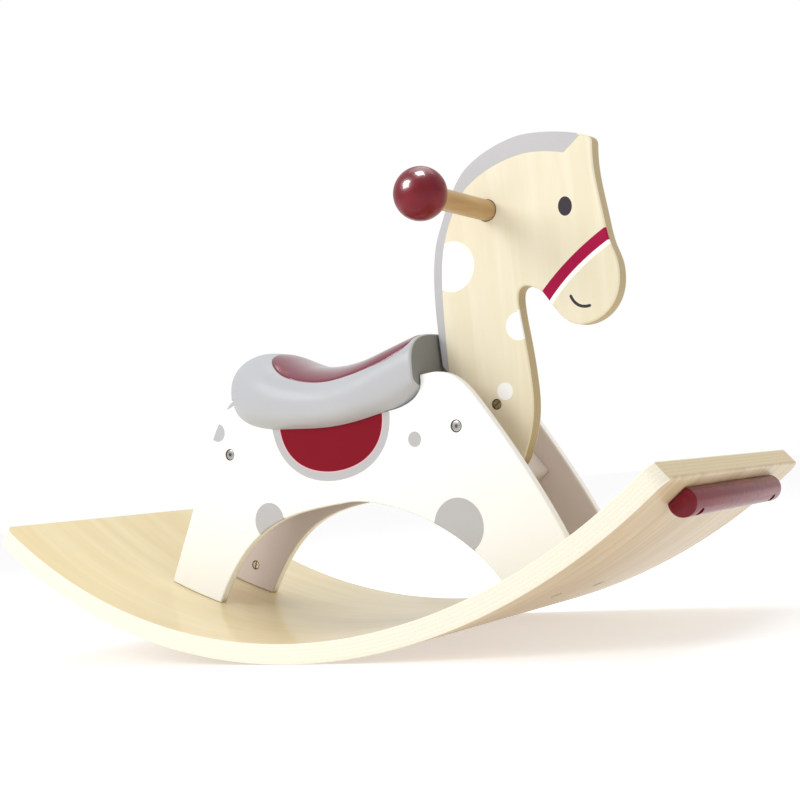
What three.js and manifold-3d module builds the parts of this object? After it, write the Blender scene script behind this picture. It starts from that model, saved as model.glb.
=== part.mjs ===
// Toddler's rocking horse: a bent plywood rocker board carries two side panels, a moulded
// saddle and a flat plywood head with a crosswise grip bar.
// Millimetres. +X is forward, +Y is the horse's left, +Z is up. The origin is on the floor,
// under the middle of the rocker board.
import * as THREE from 'three';
import { mergeVertices } from 'three/addons/utils/BufferGeometryUtils.js';
import Module from 'manifold-3d';

// ---------------------------------------------------------------- driving dimensions

const CLEARANCE = 0.3; // gap left between touching pieces

// rocker board, measured along its underside
const BOARD_WIDTH = 300;
const BOARD_ARC_LENGTH = 736;
const BOARD_THICKNESS = 16.5;
const ROCKER_RADIUS = 542;
const BOARD_FACETS = 41; // an odd number, so that one flat facet lies on the floor
const BOARD_CORNER_RADIUS = 12;
const BOARD_EDGE_ROUND = 2;

// stop bars under both ends of the board
const BAR_LENGTH = 194;
const BAR_RADIUS = 11;
const BAR_DEPTH = 17; // from its flat to its crown
const BAR_FROM_END = 21; // board's end to the middle of the bar, along the underside
const BAR_END_ROUND = 1.5;
const BAR_SCREW_SPACING = 162;

// side panels
const PANEL_GAP = 68; // between the panels' inner faces
const PANEL_THICKNESS = 9;
const PANEL_EDGE_ROUND = 1.2;
const REAR_FOOT_BACK = -219;
const REAR_FOOT_FRONT = -160;
const FRONT_FOOT_BACK = 151;
const FRONT_FOOT_FRONT = 215;

// head board and the slanted seat it is bolted to
const HEAD_THICKNESS = 15;
const HEAD_EDGE_ROUND = 1.5;
const HEAD_SEAT_FROM = 9; // along the seat, from the brace's lower edge
const HEAD_SEAT_TO = 122.4;

// cross braces between the panels: plates that lean by these angles
const BRACE_THICKNESS = 16;
const BRACE_EDGE_ROUND = 0.8;
const FRONT_BRACE_FOOT = new THREE.Vector2(160, 134); // lower edge of its front face
const FRONT_BRACE_LEAN = THREE.MathUtils.degToRad(36); // backwards
const FRONT_BRACE_LENGTH = 99;
const FRONT_BRACE_BOLT_AT = 61; // along the plate, from its lower edge
const REAR_BRACE_FOOT = new THREE.Vector2(-153.6, 154.1); // lower edge of its rear face
const REAR_BRACE_LEAN = THREE.MathUtils.degToRad(-27); // forwards
const REAR_BRACE_LENGTH = 46;
const REAR_BRACE_BOLT_AT = 32;

// grip bar through the head
const GRIP_AT = new THREE.Vector2(148, 359.5);
const GRIP_DIAMETER = 18;
const BALL_DIAMETER = 43;
const BALL_CENTRE_Y = 111.5;
const GRIP_INTO_BALL = 14; // how deep the bar sits in each ball

// saddle
const SADDLE_FRONT_X = 85.5;
const SADDLE_REAR_X = -140;
const SADDLE_ROUND_FROM_X = -60; // behind this the saddle closes to its rounded back
const SADDLE_REAR_POWER = 2.6;
const SADDLE_WALL = 9;
const SADDLE_RIM_ROUND = 2.5;
const SADDLE_MOUTH_REAR_X = -92; // opening of the hollow underneath
const SADDLE_MOUTH_FRONT_X = 56;
const INLAY_PROUD = 0.8;
const INLAY_DEPTH = 2.4;

// fasteners
const BOLT_DIAMETER = 5;
const BOLT_HEAD_DIAMETER = 9.5;
const BOLT_HEAD_LENGTH = 3.2;
const HEX_KEY = 3; // across the flats of the socket
const NUT_DIAMETER = 8; // barrel nuts
const NUT_SLOT = 1.2;
const BOLT_PAST_NUT = 2;
const LEG_BOLT_X = 185.75; // where the leg bolts come up through the board
const LEG_NUT_HEIGHT = 21; // above the board's upper face
const LEG_NUT_LENGTH = 7;
const LEG_HEAD_RECESS = 1.5; // bolt head below the board's underside
const SIDE_HEAD_RECESS = 0.4; // bolt head below the panel's face
const BRACE_NUT_FROM_END = 20;
const NECK_BOLTS_AT = [61.5, 90]; // along the front brace
const NECK_NUT_SIDES = [-1, 1]; // the face of the head each one opens on
const NECK_NUT_DEPTH = 18; // in front of the brace
const NECK_NUT_LENGTH = 11.5;
const WOODSCREW_DIAMETER = 4;
const WOODSCREW_HEAD_DIAMETER = 8;
const WOODSCREW_HEAD_LENGTH = 2.6;
const WOODSCREW_LENGTH = 22;
const WOODSCREW_RECESS = 2.2;
const CROSS_RECESS_SPAN = 4.4;
const CROSS_RECESS_WIDTH = 1;

// ---------------------------------------------------------------- derived sizes

const BOARD_HALF_ANGLE = BOARD_ARC_LENGTH / ROCKER_RADIUS / 2;
const BOARD_TOP_RADIUS = ROCKER_RADIUS - BOARD_THICKNESS;
const PANEL_INNER_Y = PANEL_GAP / 2;
const PANEL_OUTER_Y = PANEL_INNER_Y + PANEL_THICKNESS;
const PANEL_MIDDLE_Y = PANEL_INNER_Y + PANEL_THICKNESS / 2;
const FOOT_RADIUS = BOARD_TOP_RADIUS - CLEARANCE;
const LEG_BOLT_ANGLE = Math.asin(LEG_BOLT_X / BOARD_TOP_RADIUS);

// ---------------------------------------------------------------- solids

const wasm = await Module();
wasm.setup();

function toSolid(geometry) {
  const bare = geometry.index ? geometry.toNonIndexed() : geometry.clone();
  bare.deleteAttribute('normal');
  bare.deleteAttribute('uv');
  const merged = mergeVertices(bare, 1e-3);
  return new wasm.Manifold(new wasm.Mesh({
    numProp: 3,
    vertProperties: new Float32Array(merged.attributes.position.array),
    triVerts: new Uint32Array(merged.index.array),
  }));
}

function toGeometry(solid) {
  const mesh = solid.getMesh();
  const geometry = new THREE.BufferGeometry();
  const points = new Float32Array(mesh.numVert * 3);
  for (let i = 0; i < mesh.numVert; i++) {
    for (let k = 0; k < 3; k++) points[3 * i + k] = mesh.vertProperties[i * mesh.numProp + k];
  }
  geometry.setAttribute('position', new THREE.BufferAttribute(points, 3));
  geometry.setIndex(new THREE.BufferAttribute(new Uint32Array(mesh.triVerts), 1));
  geometry.computeVertexNormals();
  return geometry;
}

function cut(body, cutters) {
  let solid = toSolid(body);
  for (const cutter of cutters) solid = solid.subtract(toSolid(cutter));
  return toGeometry(solid);
}

// ---------------------------------------------------------------- shape helpers

// A shape drawn in the side view (x, z) becomes a plate from y = from to y = to.
function sidePlate(shape, from, to, round, curveSegments) {
  const geometry = new THREE.ExtrudeGeometry(shape, {
    depth: to - from - 2 * round,
    bevelEnabled: round > 0,
    bevelThickness: round,
    bevelSize: round,
    bevelOffset: -round,
    bevelSegments: 1,
    curveSegments,
  });
  geometry.rotateX(Math.PI / 2);
  geometry.translate(0, to - round, 0);
  return geometry;
}

// A cylinder from y = from to y = to in the side view's plane.
function crossPin(diameter, at, from, to, sides = 14) {
  const geometry = new THREE.CylinderGeometry(diameter / 2, diameter / 2, to - from, sides);
  geometry.translate(0, (from + to) / 2, 0);
  return geometry.translate(at.x, 0, at.y);
}

// A cylinder along +Z from z = from to z = to.
function uprightPin(diameter, from, to, sides = 10) {
  const geometry = new THREE.CylinderGeometry(diameter / 2, diameter / 2, to - from, sides);
  geometry.rotateX(Math.PI / 2);
  return geometry.translate(0, 0, (from + to) / 2);
}

// Places a piece made along +Z on the rocker's arc: +Z then points at the arc's centre, and
// z = 0 lies at the given radius.
function onArc(geometry, angle, radius, y) {
  geometry.rotateY(-angle);
  const x = radius * Math.sin(angle);
  const z = ROCKER_RADIUS - radius * Math.cos(angle);
  return geometry.translate(x, y, z);
}

// Height of an arc about the rocker's centre.
function arcHeight(x, radius) {
  return ROCKER_RADIUS - Math.sqrt(radius * radius - x * x);
}

// Moves a closed outline's points outwards by a distance.
function grownShape(shape, distance, divisions) {
  const points = shape.getPoints(divisions);
  if (points[0].distanceTo(points[points.length - 1]) < 1e-6) points.pop();
  const side = THREE.ShapeUtils.isClockWise(points) ? 1 : -1;
  const moved = points.map((point, i) => {
    const before = points[(i + points.length - 1) % points.length];
    const after = points[(i + 1) % points.length];
    const a = point.clone().sub(before).normalize();
    const b = after.clone().sub(point).normalize();
    const normal = new THREE.Vector2(-(a.y + b.y), a.x + b.x).normalize();
    const stretch = Math.max(0.5, new THREE.Vector2(-a.y, a.x).dot(normal));
    return point.clone().addScaledVector(normal, side * distance / stretch);
  });
  return new THREE.Shape(moved);
}

// A smooth height through knots [x, value], flat outside them.
function throughKnots(knots) {
  const slopes = knots.map((knot, i) => {
    const before = knots[Math.max(i - 1, 0)];
    const after = knots[Math.min(i + 1, knots.length - 1)];
    return (after[1] - before[1]) / (after[0] - before[0]);
  });
  return (x) => {
    const q = THREE.MathUtils.clamp(x, knots[0][0], knots[knots.length - 1][0]);
    let i = 0;
    while (i < knots.length - 2 && q > knots[i + 1][0]) i++;
    const step = knots[i + 1][0] - knots[i][0];
    const t = (q - knots[i][0]) / step;
    const h = t * t * (3 - 2 * t);
    const rise = t * (1 - t) * (1 - t) * slopes[i] - t * t * (1 - t) * slopes[i + 1];
    return (1 - h) * knots[i][1] + h * knots[i + 1][1] + step * rise;
  };
}

// ---------------------------------------------------------------- fasteners

// A socket-head bolt along +Z. Its head starts at z = 0 and its shank ends at z = reach.
function socketBolt(reach) {
  const profile = [
    new THREE.Vector2(0, 0),
    new THREE.Vector2(BOLT_HEAD_DIAMETER / 2 - 0.6, 0),
    new THREE.Vector2(BOLT_HEAD_DIAMETER / 2, 0.6),
    new THREE.Vector2(BOLT_HEAD_DIAMETER / 2, BOLT_HEAD_LENGTH),
    new THREE.Vector2(BOLT_DIAMETER / 2, BOLT_HEAD_LENGTH),
    new THREE.Vector2(BOLT_DIAMETER / 2, reach - 0.6),
    new THREE.Vector2(BOLT_DIAMETER / 2 - 0.6, reach),
    new THREE.Vector2(0, reach),
  ];
  const body = new THREE.LatheGeometry(profile, 12).rotateX(Math.PI / 2);
  const across = HEX_KEY / Math.cos(Math.PI / 6);
  const socket = uprightPin(across, -1, BOLT_HEAD_LENGTH - 1, 6);
  return cut(body, [socket]);
}

// The room a socket-head bolt needs, open at its head.
function boltRoom(reach, headOpening) {
  const shank = uprightPin(BOLT_DIAMETER + 2 * CLEARANCE, -1, reach + CLEARANCE + 1, 12);
  const head = uprightPin(
    BOLT_HEAD_DIAMETER + 2 * CLEARANCE, -headOpening, BOLT_HEAD_LENGTH + CLEARANCE, 12,
  );
  return [shank, head];
}

// A barrel nut along Y, with a driver slot in its open end and its other end inside the wood.
// Its cross hole takes a bolt at y = boltY that runs along a direction in the side view.
function barrelNut(at, openEnd, innerEnd, boltY, boltDirection) {
  const body = crossPin(NUT_DIAMETER, at, Math.min(openEnd, innerEnd), Math.max(openEnd, innerEnd));
  const turn = Math.atan2(boltDirection.x, boltDirection.y);
  const hole = uprightPin(BOLT_DIAMETER + 2 * CLEARANCE, -NUT_DIAMETER, NUT_DIAMETER);
  hole.rotateY(turn);
  hole.translate(at.x, boltY, at.y);
  const slot = new THREE.BoxGeometry(NUT_SLOT, 2, NUT_DIAMETER * 2);
  slot.rotateY(turn);
  slot.translate(at.x, openEnd, at.y);
  return cut(body, [hole, slot]);
}

// A countersunk wood screw along +Z. Its head's face is at z = 0.
function woodScrew() {
  const head = WOODSCREW_HEAD_DIAMETER / 2;
  const shank = WOODSCREW_DIAMETER / 2;
  const profile = [
    new THREE.Vector2(0, 0),
    new THREE.Vector2(head, 0),
    new THREE.Vector2(shank, WOODSCREW_HEAD_LENGTH),
    new THREE.Vector2(shank, WOODSCREW_LENGTH - 5),
    new THREE.Vector2(0, WOODSCREW_LENGTH),
  ];
  const body = new THREE.LatheGeometry(profile, 12).rotateX(Math.PI / 2);
  const across = new THREE.BoxGeometry(CROSS_RECESS_SPAN, CROSS_RECESS_WIDTH, 2).translate(0, 0, 0.2);
  const along = new THREE.BoxGeometry(CROSS_RECESS_WIDTH, CROSS_RECESS_SPAN, 2).translate(0, 0, 0.2);
  return cut(body, [across, along]);
}

// The room a wood screw needs, with a straight counterbore down to its head.
function woodScrewRoom() {
  const head = WOODSCREW_HEAD_DIAMETER / 2 + CLEARANCE;
  const shank = WOODSCREW_DIAMETER / 2 + CLEARANCE;
  const profile = [
    new THREE.Vector2(0, -12),
    new THREE.Vector2(head, -12),
    new THREE.Vector2(head, CLEARANCE),
    new THREE.Vector2(shank, WOODSCREW_HEAD_LENGTH + CLEARANCE),
    new THREE.Vector2(shank, WOODSCREW_LENGTH + 0.5),
    new THREE.Vector2(0, WOODSCREW_LENGTH + 0.5),
  ];
  return new THREE.LatheGeometry(profile, 12).rotateX(Math.PI / 2);
}

// ---------------------------------------------------------------- rocker board

// Where the stop bars sit on the arc, and how deep their flats lie inside the arc's chord.
const BAR_ANGLE = BOARD_HALF_ANGLE - BAR_FROM_END / ROCKER_RADIUS;
const BAR_FLAT_HALF = Math.sqrt(BAR_RADIUS ** 2 - (BAR_DEPTH - BAR_RADIUS) ** 2);
const BAR_FLAT_RADIUS = ROCKER_RADIUS / Math.cos(BOARD_HALF_ANGLE / BOARD_FACETS) + CLEARANCE;
const SCREW_HEAD_RADIUS = BAR_FLAT_RADIUS + BAR_DEPTH - WOODSCREW_RECESS;

// Where the leg bolts' heads start, and how far the bolts reach.
const LEG_HEAD_RADIUS = ROCKER_RADIUS - LEG_HEAD_RECESS;
const LEG_NUT_RADIUS = BOARD_TOP_RADIUS - LEG_NUT_HEIGHT;
const LEG_BOLT_REACH = LEG_HEAD_RADIUS - LEG_NUT_RADIUS + NUT_DIAMETER / 2 + BOLT_PAST_NUT;

// The piece cut off one corner of the board, seen along the board's thickness.
function cornerCutter(side) {
  const r = BOARD_CORNER_RADIUS;
  const m = 5;
  const shape = new THREE.Shape();
  shape.moveTo(-r, 0);
  const steps = 6;
  for (let i = 1; i <= steps; i++) {
    const a = Math.PI / 2 * (1 - i / steps);
    shape.lineTo(-r + r * Math.cos(a), side * (-r + r * Math.sin(a)));
  }
  shape.lineTo(m, -side * r);
  shape.lineTo(m, side * m);
  shape.lineTo(-r, side * m);
  shape.closePath();
  const depth = BOARD_THICKNESS + 2 * m;
  const geometry = new THREE.ExtrudeGeometry(shape, { depth, bevelEnabled: false });
  geometry.translate(0, side * BOARD_WIDTH / 2, -m);
  return onArc(geometry, BOARD_HALF_ANGLE, ROCKER_RADIUS, 0);
}

// The board's side view. The middles of the underside's facets touch the true radius.
function boardOutline() {
  const outer = ROCKER_RADIUS / Math.cos(BOARD_HALF_ANGLE / BOARD_FACETS);
  const under = [];
  const top = [];
  for (let i = 0; i <= BOARD_FACETS; i++) {
    const angle = BOARD_HALF_ANGLE * (2 * i / BOARD_FACETS - 1);
    const spoke = new THREE.Vector2(Math.sin(angle), -Math.cos(angle));
    under.push(spoke.clone().multiplyScalar(outer));
    top.unshift(spoke.clone().multiplyScalar(BOARD_TOP_RADIUS));
  }
  const points = [...under, ...top];
  for (const point of points) point.y += ROCKER_RADIUS;
  return new THREE.Shape(points);
}

function rockerBoard() {
  const half = BOARD_WIDTH / 2;
  const board = sidePlate(boardOutline(), -half, half, BOARD_EDGE_ROUND, 1);
  const cutters = [];
  for (const side of [-1, 1]) {
    cutters.push(cornerCutter(side));
    cutters.push(cornerCutter(side).rotateZ(Math.PI));
    for (const end of [-1, 1]) {
      for (const room of boltRoom(LEG_BOLT_REACH, LEG_HEAD_RECESS + 2)) {
        cutters.push(onArc(room, end * LEG_BOLT_ANGLE, LEG_HEAD_RADIUS, side * PANEL_MIDDLE_Y));
      }
      const screwY = side * BAR_SCREW_SPACING / 2;
      cutters.push(onArc(woodScrewRoom(), end * BAR_ANGLE, SCREW_HEAD_RADIUS, screwY));
    }
  }
  return cut(board, cutters);
}

// ---------------------------------------------------------------- stop bars

// A round bar with a flat, lying along Y with its flat against the board's underside.
function stopBar(end) {
  const shape = new THREE.Shape();
  const flatAngle = Math.asin((BAR_DEPTH - BAR_RADIUS) / BAR_RADIUS);
  shape.absarc(0, 0, BAR_RADIUS, flatAngle, Math.PI - flatAngle, true);
  shape.closePath();
  const half = BAR_LENGTH / 2;
  const bar = sidePlate(shape, -half, half, BAR_END_ROUND, 10);
  const flatToAxis = BAR_DEPTH - BAR_RADIUS;
  const placed = onArc(bar, end * BAR_ANGLE, BAR_FLAT_RADIUS + flatToAxis, 0);
  const cutters = [-1, 1].map((side) => {
    const room = woodScrewRoom();
    const screwY = side * BAR_SCREW_SPACING / 2;
    return onArc(room, end * BAR_ANGLE, SCREW_HEAD_RADIUS, screwY);
  });
  return cut(placed, cutters);
}

function stopBarScrew(end, side) {
  const screwY = side * BAR_SCREW_SPACING / 2;
  return onArc(woodScrew(), end * BAR_ANGLE, SCREW_HEAD_RADIUS, screwY);
}

// ---------------------------------------------------------------- braces

// Unit vectors of a leaning plate in the side view: up along it, and forwards off its face.
function plateAxes(lean) {
  return {
    along: new THREE.Vector2(-Math.sin(lean), Math.cos(lean)),
    off: new THREE.Vector2(Math.cos(lean), Math.sin(lean)),
  };
}

function plateFromFoot(foot, lean, along, off) {
  const axes = plateAxes(lean);
  return foot.clone().addScaledVector(axes.along, along).addScaledVector(axes.off, off);
}

// A point by its distance up the front brace and its distance in front of its front face.
function onFrontBrace(along, off) {
  return plateFromFoot(FRONT_BRACE_FOOT, FRONT_BRACE_LEAN, along, off);
}

// A point by its distance up the rear brace and its distance in front of its rear face.
function onRearBrace(along, off) {
  return plateFromFoot(REAR_BRACE_FOOT, REAR_BRACE_LEAN, along, off);
}

function quadShape(points) {
  const shape = new THREE.Shape();
  shape.setFromPoints(points);
  return shape;
}

// The bolt and barrel nut in each end of a brace sit in the middle of its thickness.
const FRONT_SIDE_BOLT = onFrontBrace(FRONT_BRACE_BOLT_AT, -BRACE_THICKNESS / 2);
const REAR_SIDE_BOLT = onRearBrace(REAR_BRACE_BOLT_AT, BRACE_THICKNESS / 2);
const SIDE_HEAD_Y = PANEL_OUTER_Y - SIDE_HEAD_RECESS;
const SIDE_NUT_Y = PANEL_INNER_Y - BRACE_NUT_FROM_END;
const SIDE_BOLT_REACH = SIDE_HEAD_Y - SIDE_NUT_Y + NUT_DIAMETER / 2 + BOLT_PAST_NUT;

// Turns a piece made along +Z so that it runs inwards from one side of the horse.
function fromSide(geometry, at, side) {
  geometry.rotateX(side * Math.PI / 2);
  return geometry.translate(at.x, side * SIDE_HEAD_Y, at.y);
}

// A brace's barrel nut stands through the plate's thickness.
function braceNutPin(diameter, at, lean, side, length) {
  const pin = uprightPin(diameter, -length / 2, length / 2, 14);
  pin.rotateY(Math.PI / 2 - lean);
  return pin.translate(at.x, side * SIDE_NUT_Y, at.y);
}

function braceNut(at, lean, side) {
  const body = braceNutPin(NUT_DIAMETER, at, lean, side, BRACE_THICKNESS - 1);
  const hole = crossPin(BOLT_DIAMETER + 2 * CLEARANCE, at, -NUT_DIAMETER, NUT_DIAMETER, 10);
  hole.translate(0, side * SIDE_NUT_Y, 0);
  const slot = new THREE.BoxGeometry(NUT_SLOT, NUT_DIAMETER * 2, 2);
  slot.rotateZ(Math.PI / 2);
  slot.translate(0, 0, (BRACE_THICKNESS - 1) / 2);
  slot.rotateY(Math.PI / 2 - lean);
  slot.translate(at.x, side * SIDE_NUT_Y, at.y);
  return cut(body, [hole, slot]);
}

function sideBoltRoom(at, side) {
  return boltRoom(SIDE_BOLT_REACH, 2).map((room) => fromSide(room, at, side));
}

function frontBrace() {
  const length = FRONT_BRACE_LENGTH;
  const outline = quadShape([
    onFrontBrace(0, 0),
    onFrontBrace(length, 0),
    onFrontBrace(length, -BRACE_THICKNESS),
    onFrontBrace(0, -BRACE_THICKNESS),
  ]);
  const half = PANEL_INNER_Y - CLEARANCE;
  const plate = sidePlate(outline, -half, half, BRACE_EDGE_ROUND, 1);
  const cutters = NECK_BOLTS_AT.flatMap((at) => neckBoltRoom(at));
  for (const side of [-1, 1]) {
    cutters.push(...sideBoltRoom(FRONT_SIDE_BOLT, side));
    const size = NUT_DIAMETER + 2 * CLEARANCE;
    cutters.push(braceNutPin(size, FRONT_SIDE_BOLT, FRONT_BRACE_LEAN, side, 40));
  }
  return cut(plate, cutters);
}

function rearBrace() {
  const outline = quadShape([
    onRearBrace(0, 0),
    onRearBrace(REAR_BRACE_LENGTH, 0),
    onRearBrace(REAR_BRACE_LENGTH, BRACE_THICKNESS),
    onRearBrace(0, BRACE_THICKNESS),
  ]);
  const half = PANEL_INNER_Y - CLEARANCE;
  const plate = sidePlate(outline, -half, half, BRACE_EDGE_ROUND, 1);
  const cutters = [];
  for (const side of [-1, 1]) {
    cutters.push(...sideBoltRoom(REAR_SIDE_BOLT, side));
    const size = NUT_DIAMETER + 2 * CLEARANCE;
    cutters.push(braceNutPin(size, REAR_SIDE_BOLT, REAR_BRACE_LEAN, side, 40));
  }
  return cut(plate, cutters);
}

// ---------------------------------------------------------------- neck bolts

const NECK_BOLT_REACH = BOLT_HEAD_LENGTH + BRACE_THICKNESS + NECK_NUT_DEPTH
  + NUT_DIAMETER / 2 + BOLT_PAST_NUT;

// Turns a piece made along +Z so that it runs forwards out of the front brace's back face,
// with its head's bearing face on that face.
function throughFrontBrace(geometry, along) {
  geometry.translate(0, 0, -BOLT_HEAD_LENGTH - CLEARANCE);
  geometry.rotateY(Math.PI / 2 - FRONT_BRACE_LEAN);
  const at = onFrontBrace(along, -BRACE_THICKNESS);
  return geometry.translate(at.x, 0, at.y);
}

function neckBoltRoom(along) {
  const shank = uprightPin(BOLT_DIAMETER + 2 * CLEARANCE, -1, NECK_BOLT_REACH + 2, 12);
  return [throughFrontBrace(shank, along)];
}

// side tells which face of the head the nut is pushed in from
function neckNut(along, side) {
  const at = onFrontBrace(along, NECK_NUT_DEPTH);
  const openEnd = HEAD_THICKNESS / 2 - CLEARANCE;
  const direction = plateAxes(FRONT_BRACE_LEAN).off;
  return barrelNut(at, side * openEnd, side * (openEnd - NECK_NUT_LENGTH), 0, direction);
}

// ---------------------------------------------------------------- side panels

// The panel's upper edge under the saddle, from the foot of the nose back to the rump.
function panelOutline() {
  const shape = new THREE.Shape();
  const rearFootZ = arcHeight(REAR_FOOT_BACK, FOOT_RADIUS);
  shape.moveTo(REAR_FOOT_BACK, rearFootZ);
  shape.lineTo(-155, 189);
  // rump
  shape.bezierCurveTo(-148, 203, -141, 214, -122, 230.5);
  shape.bezierCurveTo(-108, 243, -100, 220, -90, 214);
  // under the saddle
  shape.bezierCurveTo(-60, 197, 20, 197, 58, 200);
  // notch that holds the saddle's front end
  shape.bezierCurveTo(76, 202.5, 86.5, 210, 86.5, 221);
  shape.lineTo(86.5, 226);
  shape.lineTo(100, 226.5);
  // shoulder
  shape.bezierCurveTo(119, 226, 130, 213, 140, 198.5);
  shape.bezierCurveTo(160, 169, 196, 112, FRONT_FOOT_FRONT, frontFootZ());
  // the front foot follows the board
  footArc(shape, FRONT_FOOT_FRONT, FRONT_FOOT_BACK);
  // arch between the legs
  shape.bezierCurveTo(121, 94, 42, 127, -5, 124);
  shape.bezierCurveTo(-68, 119, -114, 118, REAR_FOOT_FRONT, arcHeight(REAR_FOOT_FRONT, FOOT_RADIUS));
  footArc(shape, REAR_FOOT_FRONT, REAR_FOOT_BACK);
  return shape;
}

function frontFootZ() {
  return arcHeight(FRONT_FOOT_FRONT, FOOT_RADIUS);
}

function footArc(shape, fromX, toX) {
  const from = Math.asin(fromX / FOOT_RADIUS) - Math.PI / 2;
  const to = Math.asin(toX / FOOT_RADIUS) - Math.PI / 2;
  shape.absarc(0, ROCKER_RADIUS, FOOT_RADIUS, from, to, true);
}

function legNutAt(end) {
  return new THREE.Vector2(
    end * LEG_NUT_RADIUS * Math.sin(LEG_BOLT_ANGLE),
    ROCKER_RADIUS - LEG_NUT_RADIUS * Math.cos(LEG_BOLT_ANGLE),
  );
}

function sidePanel(side) {
  const from = side > 0 ? PANEL_INNER_Y : -PANEL_OUTER_Y;
  const plate = sidePlate(panelOutline(), from, from + PANEL_THICKNESS, PANEL_EDGE_ROUND, 7);
  const cutters = [];
  for (const end of [-1, 1]) {
    const shank = boltRoom(LEG_BOLT_REACH, 1)[0];
    const y = side * PANEL_MIDDLE_Y;
    cutters.push(onArc(shank, end * LEG_BOLT_ANGLE, LEG_HEAD_RADIUS, y));
    const nutFrom = side * (PANEL_INNER_Y - 1);
    const nutTo = side * (PANEL_INNER_Y + CLEARANCE + LEG_NUT_LENGTH + CLEARANCE);
    const low = Math.min(nutFrom, nutTo);
    const high = Math.max(nutFrom, nutTo);
    cutters.push(crossPin(NUT_DIAMETER + 2 * CLEARANCE, legNutAt(end), low, high));
  }
  cutters.push(...sideBoltRoom(FRONT_SIDE_BOLT, side));
  cutters.push(...sideBoltRoom(REAR_SIDE_BOLT, side));
  return cut(plate, cutters);
}

function legBolt(end, side) {
  const bolt = socketBolt(LEG_BOLT_REACH);
  return onArc(bolt, end * LEG_BOLT_ANGLE, LEG_HEAD_RADIUS, side * PANEL_MIDDLE_Y);
}

function legNut(end, side) {
  const openEnd = side * (PANEL_INNER_Y + CLEARANCE);
  const innerEnd = side * (PANEL_INNER_Y + CLEARANCE + LEG_NUT_LENGTH);
  const direction = new THREE.Vector2(-end * Math.sin(LEG_BOLT_ANGLE), Math.cos(LEG_BOLT_ANGLE));
  return barrelNut(legNutAt(end), openEnd, innerEnd, side * PANEL_MIDDLE_Y, direction);
}

// ---------------------------------------------------------------- head board

function headOutline() {
  const shape = new THREE.Shape();
  const heel = onFrontBrace(HEAD_SEAT_TO, CLEARANCE);
  const tip = onFrontBrace(HEAD_SEAT_FROM, CLEARANCE);
  shape.moveTo(heel.x, heel.y);
  // back of the neck
  shape.bezierCurveTo(87, 262, 84, 322, 98, 349);
  // crest
  shape.bezierCurveTo(104, 361, 116, 387.8, 129.4, 398.3);
  shape.bezierCurveTo(140.4, 406.9, 160, 414, 180, 416);
  shape.bezierCurveTo(199, 418, 234, 409, 247.5, 401.5);
  // ear
  shape.quadraticCurveTo(251, 399.4, 250.6, 395);
  // forehead, nose and chin
  shape.bezierCurveTo(248, 372, 251, 360, 254.4, 327.4);
  shape.bezierCurveTo(256, 306, 262, 304, 262, 288);
  shape.bezierCurveTo(262, 262, 244, 250, 228, 249.6);
  shape.bezierCurveTo(209, 249, 203, 266, 192, 282);
  // throat
  shape.bezierCurveTo(187, 286, 170, 298, 169.1, 279.5);
  // front of the neck
  shape.bezierCurveTo(168.6, 262, 172.6, 246, 173.5, 210);
  shape.bezierCurveTo(174.3, 185, 171, 170, 158.6, 145.6);
  shape.lineTo(tip.x, tip.y);
  shape.closePath();
  return shape;
}

function headBoard() {
  const half = HEAD_THICKNESS / 2;
  const plate = sidePlate(headOutline(), -half, half, HEAD_EDGE_ROUND, 7);
  const cutters = [crossPin(GRIP_DIAMETER + 2 * CLEARANCE, GRIP_AT, -half - 1, half + 1, 24)];
  NECK_BOLTS_AT.forEach((along, i) => {
    cutters.push(...neckBoltRoom(along));
    const at = onFrontBrace(along, NECK_NUT_DEPTH);
    const inner = half - NECK_NUT_LENGTH - 2 * CLEARANCE;
    const ends = [NECK_NUT_SIDES[i] * inner, NECK_NUT_SIDES[i] * (half + 1)];
    const size = NUT_DIAMETER + 2 * CLEARANCE;
    cutters.push(crossPin(size, at, Math.min(...ends), Math.max(...ends)));
  });
  return cut(plate, cutters);
}

// ---------------------------------------------------------------- grip bar

function gripBar() {
  const half = BALL_CENTRE_Y - BALL_DIAMETER / 2 + GRIP_INTO_BALL;
  return crossPin(GRIP_DIAMETER, GRIP_AT, -half, half, 24);
}

function gripBall(side) {
  const ball = new THREE.SphereGeometry(BALL_DIAMETER / 2, 20, 12);
  ball.translate(GRIP_AT.x, side * BALL_CENTRE_Y, GRIP_AT.y);
  const inside = BALL_CENTRE_Y - BALL_DIAMETER / 2;
  const ends = [side * (inside - 5), side * (inside + GRIP_INTO_BALL + CLEARANCE)];
  const bore = crossPin(
    GRIP_DIAMETER + 2 * CLEARANCE, GRIP_AT, Math.min(...ends), Math.max(...ends), 24,
  );
  return cut(ball, [bore]);
}

// ---------------------------------------------------------------- saddle

// Heights and half width along the saddle, from its back to its front.
const saddleCrest = throughKnots([
  [-140, 281], [-104, 276], [-84, 268.5], [-62, 257.5], [-42, 250.5],
  [-15, 247.5], [20, 249.5], [55, 256.8], [70, 260.3], [86, 263.3],
]);
const saddleUnder = throughKnots([
  [-140, 192], [-66, 189.5], [-10, 187], [40, 191.5], [62, 196.5], [75, 203], [86, 212],
]);
const saddleWaist = throughKnots([[-140, 234], [-100, 228], [-60, 217], [0, 212], [86, 226]]);
const saddleHalfWidth = throughKnots([[-140, 57], [-40, 58], [20, 58], [86, 53]]);
const saddlePower = throughKnots([[-140, 2.3], [-60, 2.3], [0, 2.2], [86, 3.3]]);
const SADDLE_UNDER_POWER = 2.6;

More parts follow.
